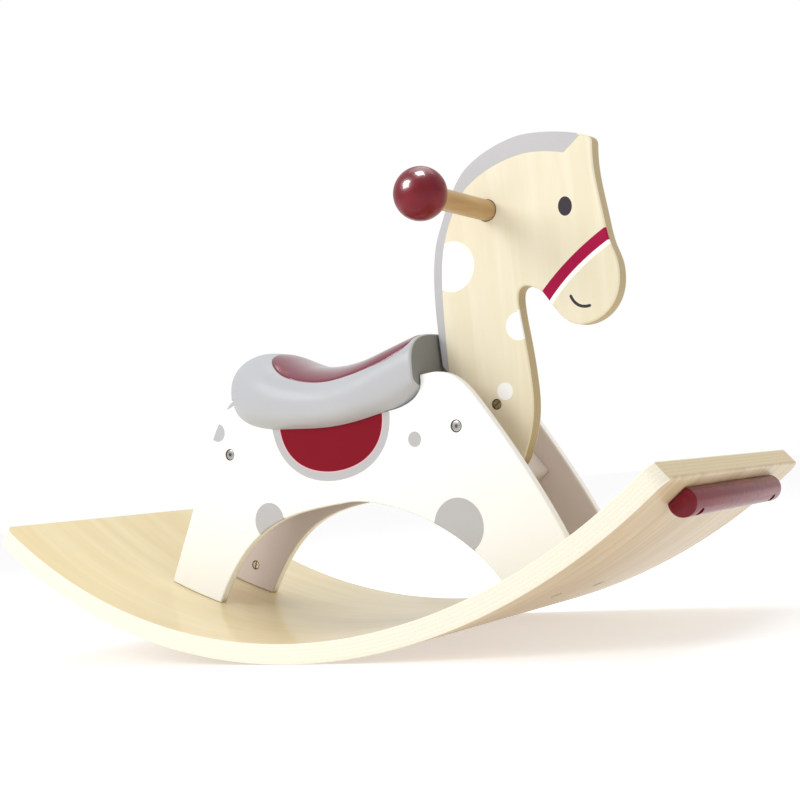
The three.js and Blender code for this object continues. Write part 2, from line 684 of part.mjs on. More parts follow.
// One cross-section of the saddle, as points round it, moved outwards by grow.
function saddleRing(x, grow, count) {
  const backLength = SADDLE_ROUND_FROM_X - SADDLE_REAR_X;
  const q = THREE.MathUtils.clamp((SADDLE_ROUND_FROM_X - x) / (backLength + grow), 0, 1);
  const closing = Math.pow(1 - Math.pow(q, SADDLE_REAR_POWER), 1 / SADDLE_REAR_POWER);
  const waist = saddleWaist(x);
  const wide = (saddleHalfWidth(x) + grow) * closing;
  const up = (saddleCrest(x) - waist + grow) * closing;
  const down = (waist - saddleUnder(x) + grow) * closing;
  const ring = [];
  for (let i = 0; i < count; i++) {
    const a = 2 * Math.PI * i / count;
    const c = Math.cos(a);
    const s = Math.sin(a);
    const power = 2 / (s >= 0 ? saddlePower(x) : SADDLE_UNDER_POWER);
    const y = wide * Math.sign(c) * Math.pow(Math.abs(c), power);
    const z = waist + (s >= 0 ? up : down) * Math.sign(s) * Math.pow(Math.abs(s), power);
    ring.push(new THREE.Vector3(x, y, z));
  }
  return ring;
}

// The saddle's closed outer form, moved outwards by grow.
function saddleForm(grow, frontX) {
  const count = 32;
  const rings = [];
  const front = frontX - SADDLE_RIM_ROUND;
  for (const [t, inset] of [[0, 1], [0.7, 0.3], [1, 0]]) {
    const x = frontX - SADDLE_RIM_ROUND * t;
    rings.push(saddleRing(x, grow - inset * SADDLE_RIM_ROUND, count));
  }
  const straight = 10;
  for (let i = 1; i <= straight; i++) {
    const x = front + (SADDLE_ROUND_FROM_X - front) * i / straight;
    rings.push(saddleRing(x, grow, count));
  }
  const rounded = 7;
  const backLength = SADDLE_ROUND_FROM_X - SADDLE_REAR_X + grow;
  for (let i = 1; i < rounded; i++) {
    const x = SADDLE_ROUND_FROM_X - backLength * Math.sin(Math.PI / 2 * i / rounded);
    rings.push(saddleRing(x, grow, count));
  }
  const points = [];
  for (const ring of rings) {
    for (const point of ring) points.push(point.x, point.y, point.z);
  }
  const frontMiddle = points.length / 3;
  const first = rings[0];
  points.push(frontX, 0, (first[count / 4].z + first[3 * count / 4].z) / 2);
  const backPole = points.length / 3;
  const backX = SADDLE_ROUND_FROM_X - backLength;
  points.push(backX, 0, saddleWaist(backX));
  const index = [];
  for (let i = 0; i < count; i++) {
    const j = (i + 1) % count;
    index.push(frontMiddle, i, j);
    for (let k = 0; k < rings.length - 1; k++) {
      const a = k * count;
      const b = a + count;
      index.push(a + i, b + i, b + j, a + i, b + j, a + j);
    }
    const last = (rings.length - 1) * count;
    index.push(backPole, last + j, last + i);
  }
  const geometry = new THREE.BufferGeometry();
  geometry.setAttribute('position', new THREE.Float32BufferAttribute(points, 3));
  geometry.setIndex(index);
  return geometry;
}

// The inlay's outline seen from above.
function inlayOutline() {
  const shape = new THREE.Shape();
  shape.moveTo(-87, 0);
  shape.bezierCurveTo(-87, -26, -80, -43, -52, -46.5);
  shape.bezierCurveTo(-20, -49, 20, -51.5, 50, -51.5);
  shape.bezierCurveTo(66, -51.5, 77, -49, 80.5, -44);
  shape.lineTo(80.5, 44);
  shape.bezierCurveTo(77, 49, 66, 51.5, 50, 51.5);
  shape.bezierCurveTo(20, 51.5, -20, 49, -52, 46.5);
  shape.bezierCurveTo(-80, 43, -87, 26, -87, 0);
  return shape;
}

// Everything above the saddle's waist and inside the inlay's outline.
function abovePlan(shape) {
  const geometry = new THREE.ExtrudeGeometry(shape, {
    depth: 90,
    bevelEnabled: false,
    curveSegments: 8,
  });
  return toSolid(geometry.translate(0, 0, 222));
}

function seatInlay() {
  const top = toSolid(saddleForm(INLAY_PROUD, SADDLE_FRONT_X));
  const bottom = toSolid(saddleForm(-INLAY_DEPTH, SADDLE_FRONT_X));
  return toGeometry(top.intersect(abovePlan(inlayOutline())).subtract(bottom));
}

function saddle() {
  let solid = toSolid(saddleForm(0, SADDLE_FRONT_X));
  // seat recess for the inlay
  const floor = toSolid(saddleForm(-INLAY_DEPTH - CLEARANCE, SADDLE_FRONT_X));
  const recess = abovePlan(grownShape(inlayOutline(), CLEARANCE, 8)).subtract(floor);
  solid = solid.subtract(recess);
  // slots that drop over the panels
  const slotShape = grownShape(panelOutline(), CLEARANCE, 7);
  for (const side of [-1, 1]) {
    const ends = [side * (PANEL_INNER_Y - CLEARANCE), side * (PANEL_OUTER_Y + CLEARANCE)];
    solid = solid.subtract(toSolid(sidePlate(slotShape, Math.min(...ends), Math.max(...ends), 0, 1)));
  }
  // hollow between the slots, open underneath
  const hollow = toSolid(saddleForm(-SADDLE_WALL, SADDLE_FRONT_X - SADDLE_WALL));
  const room = new THREE.BoxGeometry(260, 2 * PANEL_INNER_Y + PANEL_THICKNESS, 200);
  room.translate(-20, 0, 190);
  solid = solid.subtract(hollow.intersect(toSolid(room)));
  const mouthLength = SADDLE_MOUTH_FRONT_X - SADDLE_MOUTH_REAR_X;
  const mouth = new THREE.BoxGeometry(mouthLength, 2 * PANEL_INNER_Y + PANEL_THICKNESS, 40);
  mouth.translate((SADDLE_MOUTH_REAR_X + SADDLE_MOUTH_FRONT_X) / 2, 0, 190);
  return toGeometry(solid.subtract(toSolid(mouth)));
}

// ---------------------------------------------------------------- assembly

function finish(color, roughness, metalness) {
  return new THREE.MeshStandardMaterial({ color, roughness, metalness });
}

const birch = finish(0xefe3c0, 0.5, 0);
const whitePaint = finish(0xfbfbf8, 0.45, 0);
const redPaint = finish(0x8c1c30, 0.25, 0);
const greyPlastic = finish(0xc9cbd0, 0.3, 0);
const redPlastic = finish(0x9c3f5c, 0.2, 0);
const steel = finish(0xb9bbbd, 0.35, 1);
const zincNut = finish(0xb7a78a, 0.4, 1);

const horse = new THREE.Group();

function add(name, geometry, material) {
  const mesh = new THREE.Mesh(geometry, material);
  mesh.name = name;
  horse.add(mesh);
}

const ENDS = [['front', 1], ['rear', -1]];
const SIDES = [['left', 1], ['right', -1]];

add('rocker_board', rockerBoard(), birch);
add('head_board', headBoard(), birch);
add('grip_bar', gripBar(), birch);
add('front_brace', frontBrace(), whitePaint);
add('rear_brace', rearBrace(), whitePaint);
add('saddle', saddle(), greyPlastic);
add('seat_inlay', seatInlay(), redPlastic);

for (const [sideName, side] of SIDES) {
  add(`side_panel_${sideName}`, sidePanel(side), whitePaint);
  add(`grip_ball_${sideName}`, gripBall(side), redPaint);
  for (const [endName, end] of ENDS) {
    add(`stop_bar_screw_${endName}_${sideName}`, stopBarScrew(end, side), steel);
    add(`leg_bolt_${endName}_${sideName}`, legBolt(end, side), steel);
    add(`leg_nut_${endName}_${sideName}`, legNut(end, side), zincNut);
    const at = end > 0 ? FRONT_SIDE_BOLT : REAR_SIDE_BOLT;
    const lean = end > 0 ? FRONT_BRACE_LEAN : REAR_BRACE_LEAN;
    const bolt = fromSide(socketBolt(SIDE_BOLT_REACH), at, side);
    add(`side_bolt_${endName}_${sideName}`, bolt, steel);
    add(`brace_nut_${endName}_${sideName}`, braceNut(at, lean, side), zincNut);
  }
}

for (const [endName, end] of ENDS) add(`stop_bar_${endName}`, stopBar(end), redPaint);

['lower', 'upper'].forEach((name, i) => {
  const along = NECK_BOLTS_AT[i];
  add(`neck_bolt_${name}`, throughFrontBrace(socketBolt(NECK_BOLT_REACH), along), steel);
  add(`neck_nut_${name}`, neckNut(along, NECK_NUT_SIDES[i]), zincNut);
});

export default horse;
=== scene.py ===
"""A toddler's rocking horse of bent and flat plywood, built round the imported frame.

Sizes inside the classes are in millimetres, in the frame's own axes: +X forward, +Y to the
horse's left, +Z up, with the origin on the floor under the middle of the rocker board.
"""

import logging
import math
from dataclasses import dataclass, field
from enum import Enum
from typing import Callable, Iterable, Optional, Sequence

import bmesh
import bpy
from mathutils import Matrix, Vector
from mathutils.geometry import delaunay_2d_cdt

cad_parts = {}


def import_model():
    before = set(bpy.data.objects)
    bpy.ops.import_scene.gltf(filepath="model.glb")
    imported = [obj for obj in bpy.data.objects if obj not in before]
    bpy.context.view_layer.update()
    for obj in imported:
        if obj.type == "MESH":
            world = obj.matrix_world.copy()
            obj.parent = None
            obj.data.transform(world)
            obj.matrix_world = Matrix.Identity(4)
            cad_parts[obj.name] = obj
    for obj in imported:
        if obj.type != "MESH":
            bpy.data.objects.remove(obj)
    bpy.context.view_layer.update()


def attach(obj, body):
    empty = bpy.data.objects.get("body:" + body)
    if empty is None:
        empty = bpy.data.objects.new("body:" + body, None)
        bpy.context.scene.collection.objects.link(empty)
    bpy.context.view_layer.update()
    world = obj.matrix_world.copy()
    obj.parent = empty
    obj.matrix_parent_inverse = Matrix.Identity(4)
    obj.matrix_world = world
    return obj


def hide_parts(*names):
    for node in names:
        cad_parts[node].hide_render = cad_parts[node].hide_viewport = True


log = logging.getLogger("rocking_horse")

MM = 0.001
GAP = 0.3

Colour = tuple[float, float, float]
Point = tuple[float, float]


def paint_colour(red: int, green: int, blue: int) -> Colour:
    """Turns a colour of 0 to 255 per channel, as seen on a screen, into linear light.

    Args:
        red: the red channel.
        green: the green channel.
        blue: the blue channel.

    Returns:
        The colour in linear light.
    """

    def linear(channel: int) -> float:
        """Turns one channel into linear light."""
        c = channel / 255
        return c / 12.92 if c <= 0.04045 else ((c + 0.055) / 1.055) ** 2.4

    return linear(red), linear(green), linear(blue)


# ------------------------------------------------------------------ finishes


class Shader:
    """The node tree of one material, with a Principled surface at its end."""

    def __init__(self, name: str) -> None:
        """Starts an empty material.

        Args:
            name: the material's name.
        """
        self.material = bpy.data.materials.new(name)
        self.material.use_nodes = True
        self.tree = self.material.node_tree
        self.tree.nodes.clear()
        self.surface = self.add("ShaderNodeBsdfPrincipled")
        end = self.add("ShaderNodeOutputMaterial")
        self.link(self.surface.outputs["BSDF"], end.inputs["Surface"])

    def add(self, kind: str, **settings: object) -> bpy.types.Node:
        """Adds a node and sets its properties.

        Args:
            kind: the node's type.
            settings: properties to set on it.

        Returns:
            The node.
        """
        node = self.tree.nodes.new(kind)
        for key, value in settings.items():
            setattr(node, key, value)
        return node

    def link(self, source: bpy.types.NodeSocket, target: bpy.types.NodeSocket) -> None:
        """Joins an output to an input."""
        self.tree.links.new(source, target)

    def feed(self, target: bpy.types.NodeSocket, value: object) -> None:
        """Gives an input a link or a plain value, whichever it is handed.

        Args:
            target: the input.
            value: a link's source or a number.
        """
        if isinstance(value, bpy.types.NodeSocket):
            self.link(value, target)
        else:
            target.default_value = value

    def set(self, **values: object) -> None:
        """Sets inputs of the Principled surface, named with underscores for spaces.

        Args:
            values: numbers, colours or links by input name.
        """
        for key, value in values.items():
            socket = self.surface.inputs[key.replace("_", " ")]
            if isinstance(value, tuple) and len(value) == 3:
                value = (*value, 1.0)
            self.feed(socket, value)

    def place(self, scale: Sequence[float]) -> bpy.types.NodeSocket:
        """Object coordinates in metres, stretched by a scale per axis.

        Args:
            scale: how many pattern units fit in a metre along X, Y and Z.

        Returns:
            The stretched coordinate.
        """
        where = self.add("ShaderNodeTexCoord")
        mapping = self.add("ShaderNodeMapping")
        mapping.inputs["Scale"].default_value = scale
        self.link(where.outputs["Object"], mapping.inputs["Vector"])
        return mapping.outputs["Vector"]

    def noise(
        self, vector: bpy.types.NodeSocket, scale: float, detail: float, distortion: float = 0.0
    ) -> bpy.types.NodeSocket:
        """A noise value of about 0 to 1 at a coordinate.

        Args:
            vector: the coordinate.
            scale: patches per unit.
            detail: how many finer layers it has.
            distortion: how far it is warped.

        Returns:
            The noise value.
        """
        node = self.add("ShaderNodeTexNoise")
        self.link(vector, node.inputs["Vector"])
        node.inputs["Scale"].default_value = scale
        node.inputs["Detail"].default_value = detail
        node.inputs["Distortion"].default_value = distortion
        return node.outputs["Fac"]

    def maths(self, operation: str, *values: object) -> bpy.types.NodeSocket:
        """A Math node on one to three values or links.

        Args:
            operation: the operation's name.
            values: its operands.

        Returns:
            The result.
        """
        node = self.add("ShaderNodeMath", operation=operation)
        for socket, value in zip(node.inputs, values):
            self.feed(socket, value)
        return node.outputs[0]

    def spread(
        self, value: bpy.types.NodeSocket, low: float, high: float, to_low: float, to_high: float
    ) -> bpy.types.NodeSocket:
        """Maps low..high onto to_low..to_high, held at its ends.

        Args:
            value: what is mapped.
            low: where the range starts.
            high: where it ends.
            to_low: the result at its start.
            to_high: the result at its end.

        Returns:
            The mapped value.
        """
        node = self.add("ShaderNodeMapRange")
        self.link(value, node.inputs["Value"])
        for name, number in (
            ("From Min", low), ("From Max", high), ("To Min", to_low), ("To Max", to_high),
        ):
            node.inputs[name].default_value = number
        return node.outputs["Result"]

    def mix(self, factor: object, first: object, second: object) -> bpy.types.NodeSocket:
        """Mixes two colours.

        Args:
            factor: the share of the second.
            first: the first colour.
            second: the second colour.

        Returns:
            The mixed colour.
        """
        node = self.add("ShaderNodeMix", data_type="RGBA")
        for socket, value in zip((node.inputs[0], node.inputs[6], node.inputs[7]), (factor, first, second)):
            if isinstance(value, tuple):
                value = (*value, 1.0)
            self.feed(socket, value)
        return node.outputs[2]

    def bump(self, height: bpy.types.NodeSocket, distance: float, strength: float = 1.0) -> None:
        """Gives the surface a relief of a height value times a distance in metres.

        Args:
            height: the relief's height.
            distance: the depth of a full step, in metres.
            strength: how much of it shows.
        """
        node = self.add("ShaderNodeBump")
        node.inputs["Distance"].default_value = distance
        node.inputs["Strength"].default_value = strength
        self.link(height, node.inputs["Height"])
        self.link(node.outputs["Normal"], self.surface.inputs["Normal"])


class Grain(Enum):
    """The way the wood's grain runs, as a stretch of the pattern per axis."""

    ALONG_X = (1.0, 14.0, 14.0)
    ALONG_Y = (14.0, 1.0, 14.0)
    ALONG_Z = (14.0, 14.0, 1.0)
    ALONG_ARC = (1.0, 14.0, 1.0)

    def stretched(self, scale: float) -> tuple[float, float, float]:
        """The stretch times a scale."""
        x, y, z = self.value
        return x * scale, y * scale, z * scale


@dataclass(frozen=True)
class Birch:
    """Clear-lacquered birch: soft figure, fine streaks and short pores."""

    name: str
    pale: Colour
    warm: Colour
    grain: Grain
    figure_scale: float = 5.0
    streak_scale: float = 42.0
    pore_scale: float = 130.0
    contrast: float = 0.16
    roughness: float = 0.42
    coat: float = 0.25
    coat_roughness: float = 0.22

    def make(self) -> bpy.types.Material:
        """Builds the material.

        Returns:
            The material.
        """
        s = Shader(self.name)
        figure = s.noise(s.place(self.grain.stretched(self.figure_scale)), 1.0, 4.0, 0.8)
        streaks = s.noise(s.place(self.grain.stretched(self.streak_scale)), 1.0, 5.0, 0.3)
        pores = s.noise(s.place(self.grain.stretched(self.pore_scale)), 1.0, 2.0)
        body = s.mix(s.spread(figure, 0.32, 0.68, 0.0, 1.0), self.pale, self.warm)
        lined = s.mix(s.spread(streaks, 0.45, 0.75, 0.0, self.contrast), body, self.shade(0.84))
        pored = s.mix(s.spread(pores, 0.66, 0.80, 0.0, self.contrast), lined, self.shade(0.66))
        s.set(
            Base_Color=pored,
            Roughness=s.spread(streaks, 0.3, 0.7, self.roughness - 0.05, self.roughness + 0.08),
            Coat_Weight=self.coat,
            Coat_Roughness=self.coat_roughness,
        )
        relief = s.maths("MULTIPLY_ADD", pores, -0.6, streaks)
        s.bump(relief, 0.00006, 0.6)
        return s.material

    def shade(self, share: float) -> Colour:
        """The warm colour, darkened."""
        return tuple(channel * share for channel in self.warm)


class Across(Enum):
    """The way that plies are stacked: through a flat plate, or through the bent board."""

    FLAT = "flat"
    BENT = "bent"


@dataclass(frozen=True)
class PlyEdge:
    """The cut edge of plywood: long-grain and end-grain plies with thin glue lines."""

    name: str
    long_grain: Colour
    end_grain: Colour
    glue: Colour
    stack: Across
    start: float
    ply: float
    arc_radius: float = 0.0
    line_strength: float = 0.5
    roughness: float = 0.55

    def make(self) -> bpy.types.Material:
        """Builds the material.

        Returns:
            The material.
        """
        s = Shader(self.name)
        where = s.add("ShaderNodeTexCoord")
        parts = s.add("ShaderNodeSeparateXYZ")
        s.link(where.outputs["Object"], parts.inputs["Vector"])
        if self.stack is Across.FLAT:
            depth = parts.outputs["Y"]
        else:
            down = s.maths("SUBTRACT", parts.outputs["Z"], self.arc_radius * MM)
            square = s.maths("MULTIPLY", down, down)
            total = s.maths("MULTIPLY_ADD", parts.outputs["X"], parts.outputs["X"], square)
            depth = s.maths("SQRT", total)
        waver = s.noise(s.place((25.0, 25.0, 25.0)), 1.0, 2.0)
        wavy = s.maths("MULTIPLY_ADD", waver, 0.00025, depth)
        layers = s.maths("DIVIDE", s.maths("SUBTRACT", wavy, self.start * MM), self.ply * MM)
        within = s.maths("FRACT", layers)
        pair = s.maths("FRACT", s.maths("DIVIDE", s.maths("FLOOR", layers), 2.0))
        other = s.spread(pair, 0.2, 0.3, 0.0, 1.0)
        from_line = s.maths("MINIMUM", within, s.maths("SUBTRACT", 1.0, within))
        line = s.spread(from_line, 0.02, 0.09, 1.0, 0.0)
        speckle = s.noise(s.place((900.0, 900.0, 900.0)), 1.0, 3.0)
        streak = s.noise(s.place((120.0, 2400.0, 120.0)), 1.0, 3.0)
        tone = s.mix(other, self.long_grain, self.end_grain)
        rough_tone = s.mix(s.spread(speckle, 0.4, 0.75, 0.0, 0.18), tone, self.glue)
        streaked = s.mix(s.spread(streak, 0.5, 0.8, 0.0, 0.25), rough_tone, self.end_grain)
        s.set(
            Base_Color=s.mix(s.maths("MULTIPLY", line, self.line_strength), streaked, self.glue),
            Roughness=s.spread(speckle, 0.3, 0.7, self.roughness - 0.05, self.roughness + 0.1),
            Coat_Weight=0.15,
            Coat_Roughness=0.3,
        )
        s.bump(s.maths("MULTIPLY_ADD", line, -1.2, speckle), 0.00005, 0.6)
        return s.material


@dataclass(frozen=True)
class Paint:
    """Sprayed or printed paint over wood, with the grain just showing through."""

    name: str
    colour: Colour
    roughness: float = 0.4
    grain: Grain = Grain.ALONG_Z
    mottle: float = 0.05
    coat: float = 0.15
    shine: float = 0.5

    def make(self) -> bpy.types.Material:
        """Builds the material.

        Returns:
            The material.
        """
        s = Shader(self.name)
        cloud = s.noise(s.place((28.0, 28.0, 28.0)), 1.0, 4.0)
        telegraph = s.noise(s.place(self.grain.stretched(60.0)), 1.0, 4.0, 0.2)
        peel = s.noise(s.place((1400.0, 1400.0, 1400.0)), 1.0, 2.0)
        darker = tuple(channel * (1.0 - 2.0 * self.mottle) for channel in self.colour)
        clouded = s.mix(s.spread(cloud, 0.35, 0.7, 0.0, 0.6), self.colour, darker)
        s.set(
            Base_Color=s.mix(s.spread(telegraph, 0.5, 0.8, 0.0, 0.35), clouded, darker),
            Roughness=s.spread(peel, 0.3, 0.7, self.roughness - 0.04, self.roughness + 0.08),
            Coat_Weight=self.coat,
            Coat_Roughness=0.2,
            Specular_IOR_Level=self.shine,
        )
        s.bump(s.maths("MULTIPLY_ADD", telegraph, 1.6, peel), 0.000035, 0.5)
        return s.material


@dataclass(frozen=True)
class Lacquer:
    """Deep gloss lacquer on turned wood, a little uneven in depth."""

    name: str
    colour: Colour
    deep: Colour
    roughness: float = 0.3

    def make(self) -> bpy.types.Material:
        """Builds the material.

        Returns:
            The material.
        """
        s = Shader(self.name)
        depth = s.noise(s.place((90.0, 22.0, 90.0)), 1.0, 4.0, 0.4)
        ripple = s.noise(s.place((260.0, 260.0, 260.0)), 1.0, 2.0)
        s.set(
            Base_Color=s.mix(s.spread(depth, 0.35, 0.7, 0.0, 0.45), self.colour, self.deep),
            Roughness=s.spread(ripple, 0.3, 0.7, self.roughness, self.roughness + 0.08),
            Coat_Weight=0.35,
            Coat_Roughness=0.12,
            Specular_IOR_Level=0.15,
        )
        s.bump(ripple, 0.00001, 0.3)
        return s.material


@dataclass(frozen=True)
class Moulding:
    """Moulded plastic with a very fine texture from the tool."""

    name: str
    colour: Colour
    roughness: float
    coat: float
    texture: float = 0.00002
    shine: float = 0.5

    def make(self) -> bpy.types.Material:
        """Builds the material.

        Returns:
            The material.
        """
        s = Shader(self.name)
        flow = s.noise(s.place((9.0, 14.0, 14.0)), 1.0, 3.0, 0.5)
        spark = s.noise(s.place((2200.0, 2200.0, 2200.0)), 1.0, 2.0)
        scuff = s.noise(s.place((60.0, 240.0, 60.0)), 1.0, 5.0, 0.6)
        darker = tuple(channel * 0.90 for channel in self.colour)
        s.set(
            Base_Color=s.mix(s.spread(flow, 0.35, 0.7, 0.0, 0.7), self.colour, darker),
            Roughness=s.spread(scuff, 0.35, 0.75, self.roughness - 0.03, self.roughness + 0.10),
            Coat_Weight=self.coat,
            Coat_Roughness=0.08,
            Specular_IOR_Level=self.shine,
        )
        s.bump(spark, self.texture, 0.4)
        return s.material


@dataclass(frozen=True)
class Plated:
    """Zinc-plated steel with fine turning marks and a cloudy plate."""

    name: str
    bright: Colour
    dull: Colour
    roughness: float = 0.3

    def make(self) -> bpy.types.Material:
        """Builds the material.

        Returns:
            The material.
        """
        s = Shader(self.name)
        cloud = s.noise(s.place((350.0, 350.0, 350.0)), 1.0, 4.0)
        marks = s.noise(s.place((2500.0, 500.0, 2500.0)), 1.0, 2.0)
        s.set(
            Base_Color=s.mix(s.spread(cloud, 0.35, 0.7, 0.0, 1.0), self.bright, self.dull),
            Metallic=1.0,
            Roughness=s.spread(cloud, 0.3, 0.7, self.roughness - 0.06, self.roughness + 0.12),
        )
        s.bump(marks, 0.00002, 0.5)
        return s.material


# ------------------------------------------------------------------ outlines


class Outline:
    """A line drawn in the side view as (x, z) points, in millimetres."""

    def __init__(self, x: float, z: float) -> None:
        """Starts the line at a point."""
        self.points = [Vector((x, z))]

    def line(self, x: float, z: float) -> "Outline":
        """Goes straight to a point."""
        self.points.append(Vector((x, z)))
        return self

    def curve(self, *numbers: float, steps: int = 18) -> "Outline":
        """Follows a cubic curve.

        Args:
            numbers: x and z of the two handles and of the end.
            steps: how many straight steps stand for the curve.

        Returns:
            The outline itself.
        """
        start = self.points[-1]
        one, two, end = (Vector(numbers[i:i + 2]) for i in (0, 2, 4))
        for i in range(1, steps + 1):
            t = i / steps
            u = 1.0 - t
            self.points.append(
                start * u**3 + one * (3 * u * u * t) + two * (3 * u * t * t) + end * t**3
            )
        return self

    def bend(self, x1: float, z1: float, x2: float, z2: float) -> "Outline":
        """Follows a quadratic curve through one handle.

        Args:
            x1: the handle's x.
            z1: the handle's z.
            x2: the end's x.
            z2: the end's z.

        Returns:
            The outline itself.
        """
        start, handle, end = self.points[-1], Vector((x1, z1)), Vector((x2, z2))
        first = start.lerp(handle, 2 / 3)
        second = end.lerp(handle, 2 / 3)
        return self.curve(*first, *second, *end, steps=6)

    def arc(self, radius: float, centre: Point, from_x: float, to_x: float) -> "Outline":
        """Follows the lower part of a circle from one x to another.

        Args:
            radius: the circle's radius.
            centre: its centre.
            from_x: where to start.
            to_x: where to end.

        Returns:
            The outline itself.
        """
        steps = 12
        for i in range(steps + 1):
            x = from_x + (to_x - from_x) * i / steps - centre[0]
            self.points.append(Vector((x + centre[0], centre[1] - math.sqrt(radius**2 - x * x))))
        return self

    def closed(self) -> list[Vector]:
        """The points as a closed loop that runs anticlockwise, with doubles left out.

        Returns:
            The loop.
        """
        loop = []
        for point in self.points:
            if not loop or (point - loop[-1]).length > 1e-4:
                loop.append(point)
        if (loop[0] - loop[-1]).length <= 1e-4:
            loop.pop()
        return loop if signed_area(loop) > 0 else loop[::-1]


def signed_area(loop: Sequence[Vector]) -> float:
    """The area inside a loop, negative if it runs clockwise."""
    return sum(a.x * b.y - b.x * a.y for a, b in zip(loop, [*loop[1:], loop[0]])) / 2


def circle(x: float, z: float, radius: float, steps: int = 48) -> list[Vector]:
    """A round loop."""
    return ellipse(x, z, radius, radius, steps)


def ellipse(x: float, z: float, wide: float, tall: float, steps: int = 48) -> list[Vector]:
    """An oval loop with its axes level and upright."""
    turns = [2 * math.pi * i / steps for i in range(steps)]
    return [Vector((x + wide * math.cos(t), z + tall * math.sin(t))) for t in turns]


def side_normals(loop: Sequence[Vector]) -> list[Vector]:
    """For each corner of a loop, how it moves when its sides move outwards by one.

    Args:
        loop: the corners, anticlockwise.

    Returns:
        One step per corner.
    """
    out = []
    for i, point in enumerate(loop):
        a = (point - loop[i - 1]).normalized()
        b = (loop[(i + 1) % len(loop)] - point).normalized()
        first = Vector((a.y, -a.x))
        middle = (first + Vector((b.y, -b.x))).normalized()
        out.append(middle / max(0.5, middle.dot(first)))
    return out


def moved_out(loop: Sequence[Vector], distance: float) -> list[Vector]:
    """A loop whose sides are moved outwards, or inwards with a negative distance."""
    return [point + normal * distance for point, normal in zip(loop, side_normals(loop))]


def band(path: Sequence[Vector], width: float) -> list[Vector]:
    """A closed strip of one width along a path, with round ends.

    Args:
        path: the points along its middle.
        width: its full width.

    Returns:
        The strip as a loop.
    """
    left, right = [], []
    for i, point in enumerate(path):
        ahead = (path[min(i + 1, len(path) - 1)] - path[max(i - 1, 0)]).normalized()
        normal = Vector((-ahead.y, ahead.x)) * width / 2
        left.append(point + normal)
        right.append(point - normal)
    end_ahead = (path[-1] - path[-2]).normalized() * width / 2
    start_ahead = (path[0] - path[1]).normalized() * width / 2
    return [*left, path[-1] + end_ahead, *right[::-1], path[0] + start_ahead]


def inside(point: Vector, loop: Sequence[Vector]) -> bool:
    """Whether a point lies inside a loop.

    Args:
        point: the point.
        loop: the loop's corners.

    Returns:
        True if it does.
    """
    found = False
    for a, b in zip(loop, [*loop[1:], loop[0]]):
        if (a.y > point.y) != (b.y > point.y):
            if point.x < (b.x - a.x) * (point.y - a.y) / (b.y - a.y) + a.x:
                found = not found
    return found


class SmoothLine:
    """A smooth value through knots of (x, value), held at its ends."""

    def __init__(self, *knots: Point) -> None:
        """Keeps the knots and works out the slope at each.

        Args:
            knots: (x, value) pairs in order of x.
        """
        self.knots = knots
        last = len(knots) - 1
        self.slopes = []
        for i in range(len(knots)):
            before, after = knots[max(i - 1, 0)], knots[min(i + 1, last)]
            self.slopes.append((after[1] - before[1]) / (after[0] - before[0]))

    def at(self, x: float) -> float:
        """The value at x.

        Args:
            x: where to look.

        Returns:
            The value there.
        """
        q = min(max(x, self.knots[0][0]), self.knots[-1][0])
        i = 0
        while i < len(self.knots) - 2 and q > self.knots[i + 1][0]:
            i += 1
        (x0, v0), (x1, v1) = self.knots[i], self.knots[i + 1]
        t = (q - x0) / (x1 - x0)
        h = t * t * (3 - 2 * t)
        rise = t * (1 - t) ** 2 * self.slopes[i] - t * t * (1 - t) * self.slopes[i + 1]
        return (1 - h) * v0 + h * v1 + (x1 - x0) * rise


# ------------------------------------------------------------------ meshes


@dataclass
class MeshDraft:
    """Points and faces of a piece that is being made, in millimetres."""

    points: list[tuple[float, float, float]] = field(default_factory=list)
    faces: list[Sequence[int]] = field(default_factory=list)
    slots: list[int] = field(default_factory=list)
    smooth: list[bool] = field(default_factory=list)

    def point(self, x: float, y: float, z: float) -> int:
        """Adds a point and gives its number."""
        self.points.append((x, y, z))
        return len(self.points) - 1

    def face(self, corners: Sequence[int], slot: int = 0, smooth: bool = True) -> None:
        """Adds a face with its material slot and shading.

        Args:
            corners: point numbers, anticlockwise from outside.
            slot: its material slot.
            smooth: whether it is shaded smooth.
        """
        self.faces.append(corners)
        self.slots.append(slot)
        self.smooth.append(smooth)

    def skin(
        self, rings: Sequence[Sequence[int]], slot_of: Callable[[int, int], int], turned: bool = False
    ) -> None:
        """Joins rings of points into a tube.

        Args:
            rings: the rings' point numbers, all of one length.
            slot_of: gives the material slot from the ring's and the side's number.
            turned: whether the faces look the other way.
        """
        for k in range(len(rings) - 1):
            here, there = rings[k], rings[k + 1]
            count = len(here)
            for i in range(count):
                j = (i + 1) % count
                corners = (here[i], here[j], there[j], there[i])
                self.face(corners[::-1] if turned else corners, slot_of(k, i))

    def finish(self, name: str, materials: Sequence[bpy.types.Material]) -> bpy.types.Object:
        """Makes the Blender object, in metres, and adds it to the scene.

        Args:
            name: the piece's name.
            materials: its slots in order.

        Returns:
            The object.
        """
        mesh = bpy.data.meshes.new(name)
        mesh.from_pydata([(x * MM, y * MM, z * MM) for x, y, z in self.points], [], self.faces)
        for material in materials:
            mesh.materials.append(material)
        mesh.polygons.foreach_set("material_index", self.slots)
        mesh.polygons.foreach_set("use_smooth", self.smooth)
        mesh.update()
        mesh.validate()
        piece = bpy.data.objects.new(name, mesh)
        bpy.context.scene.collection.objects.link(piece)
        return piece


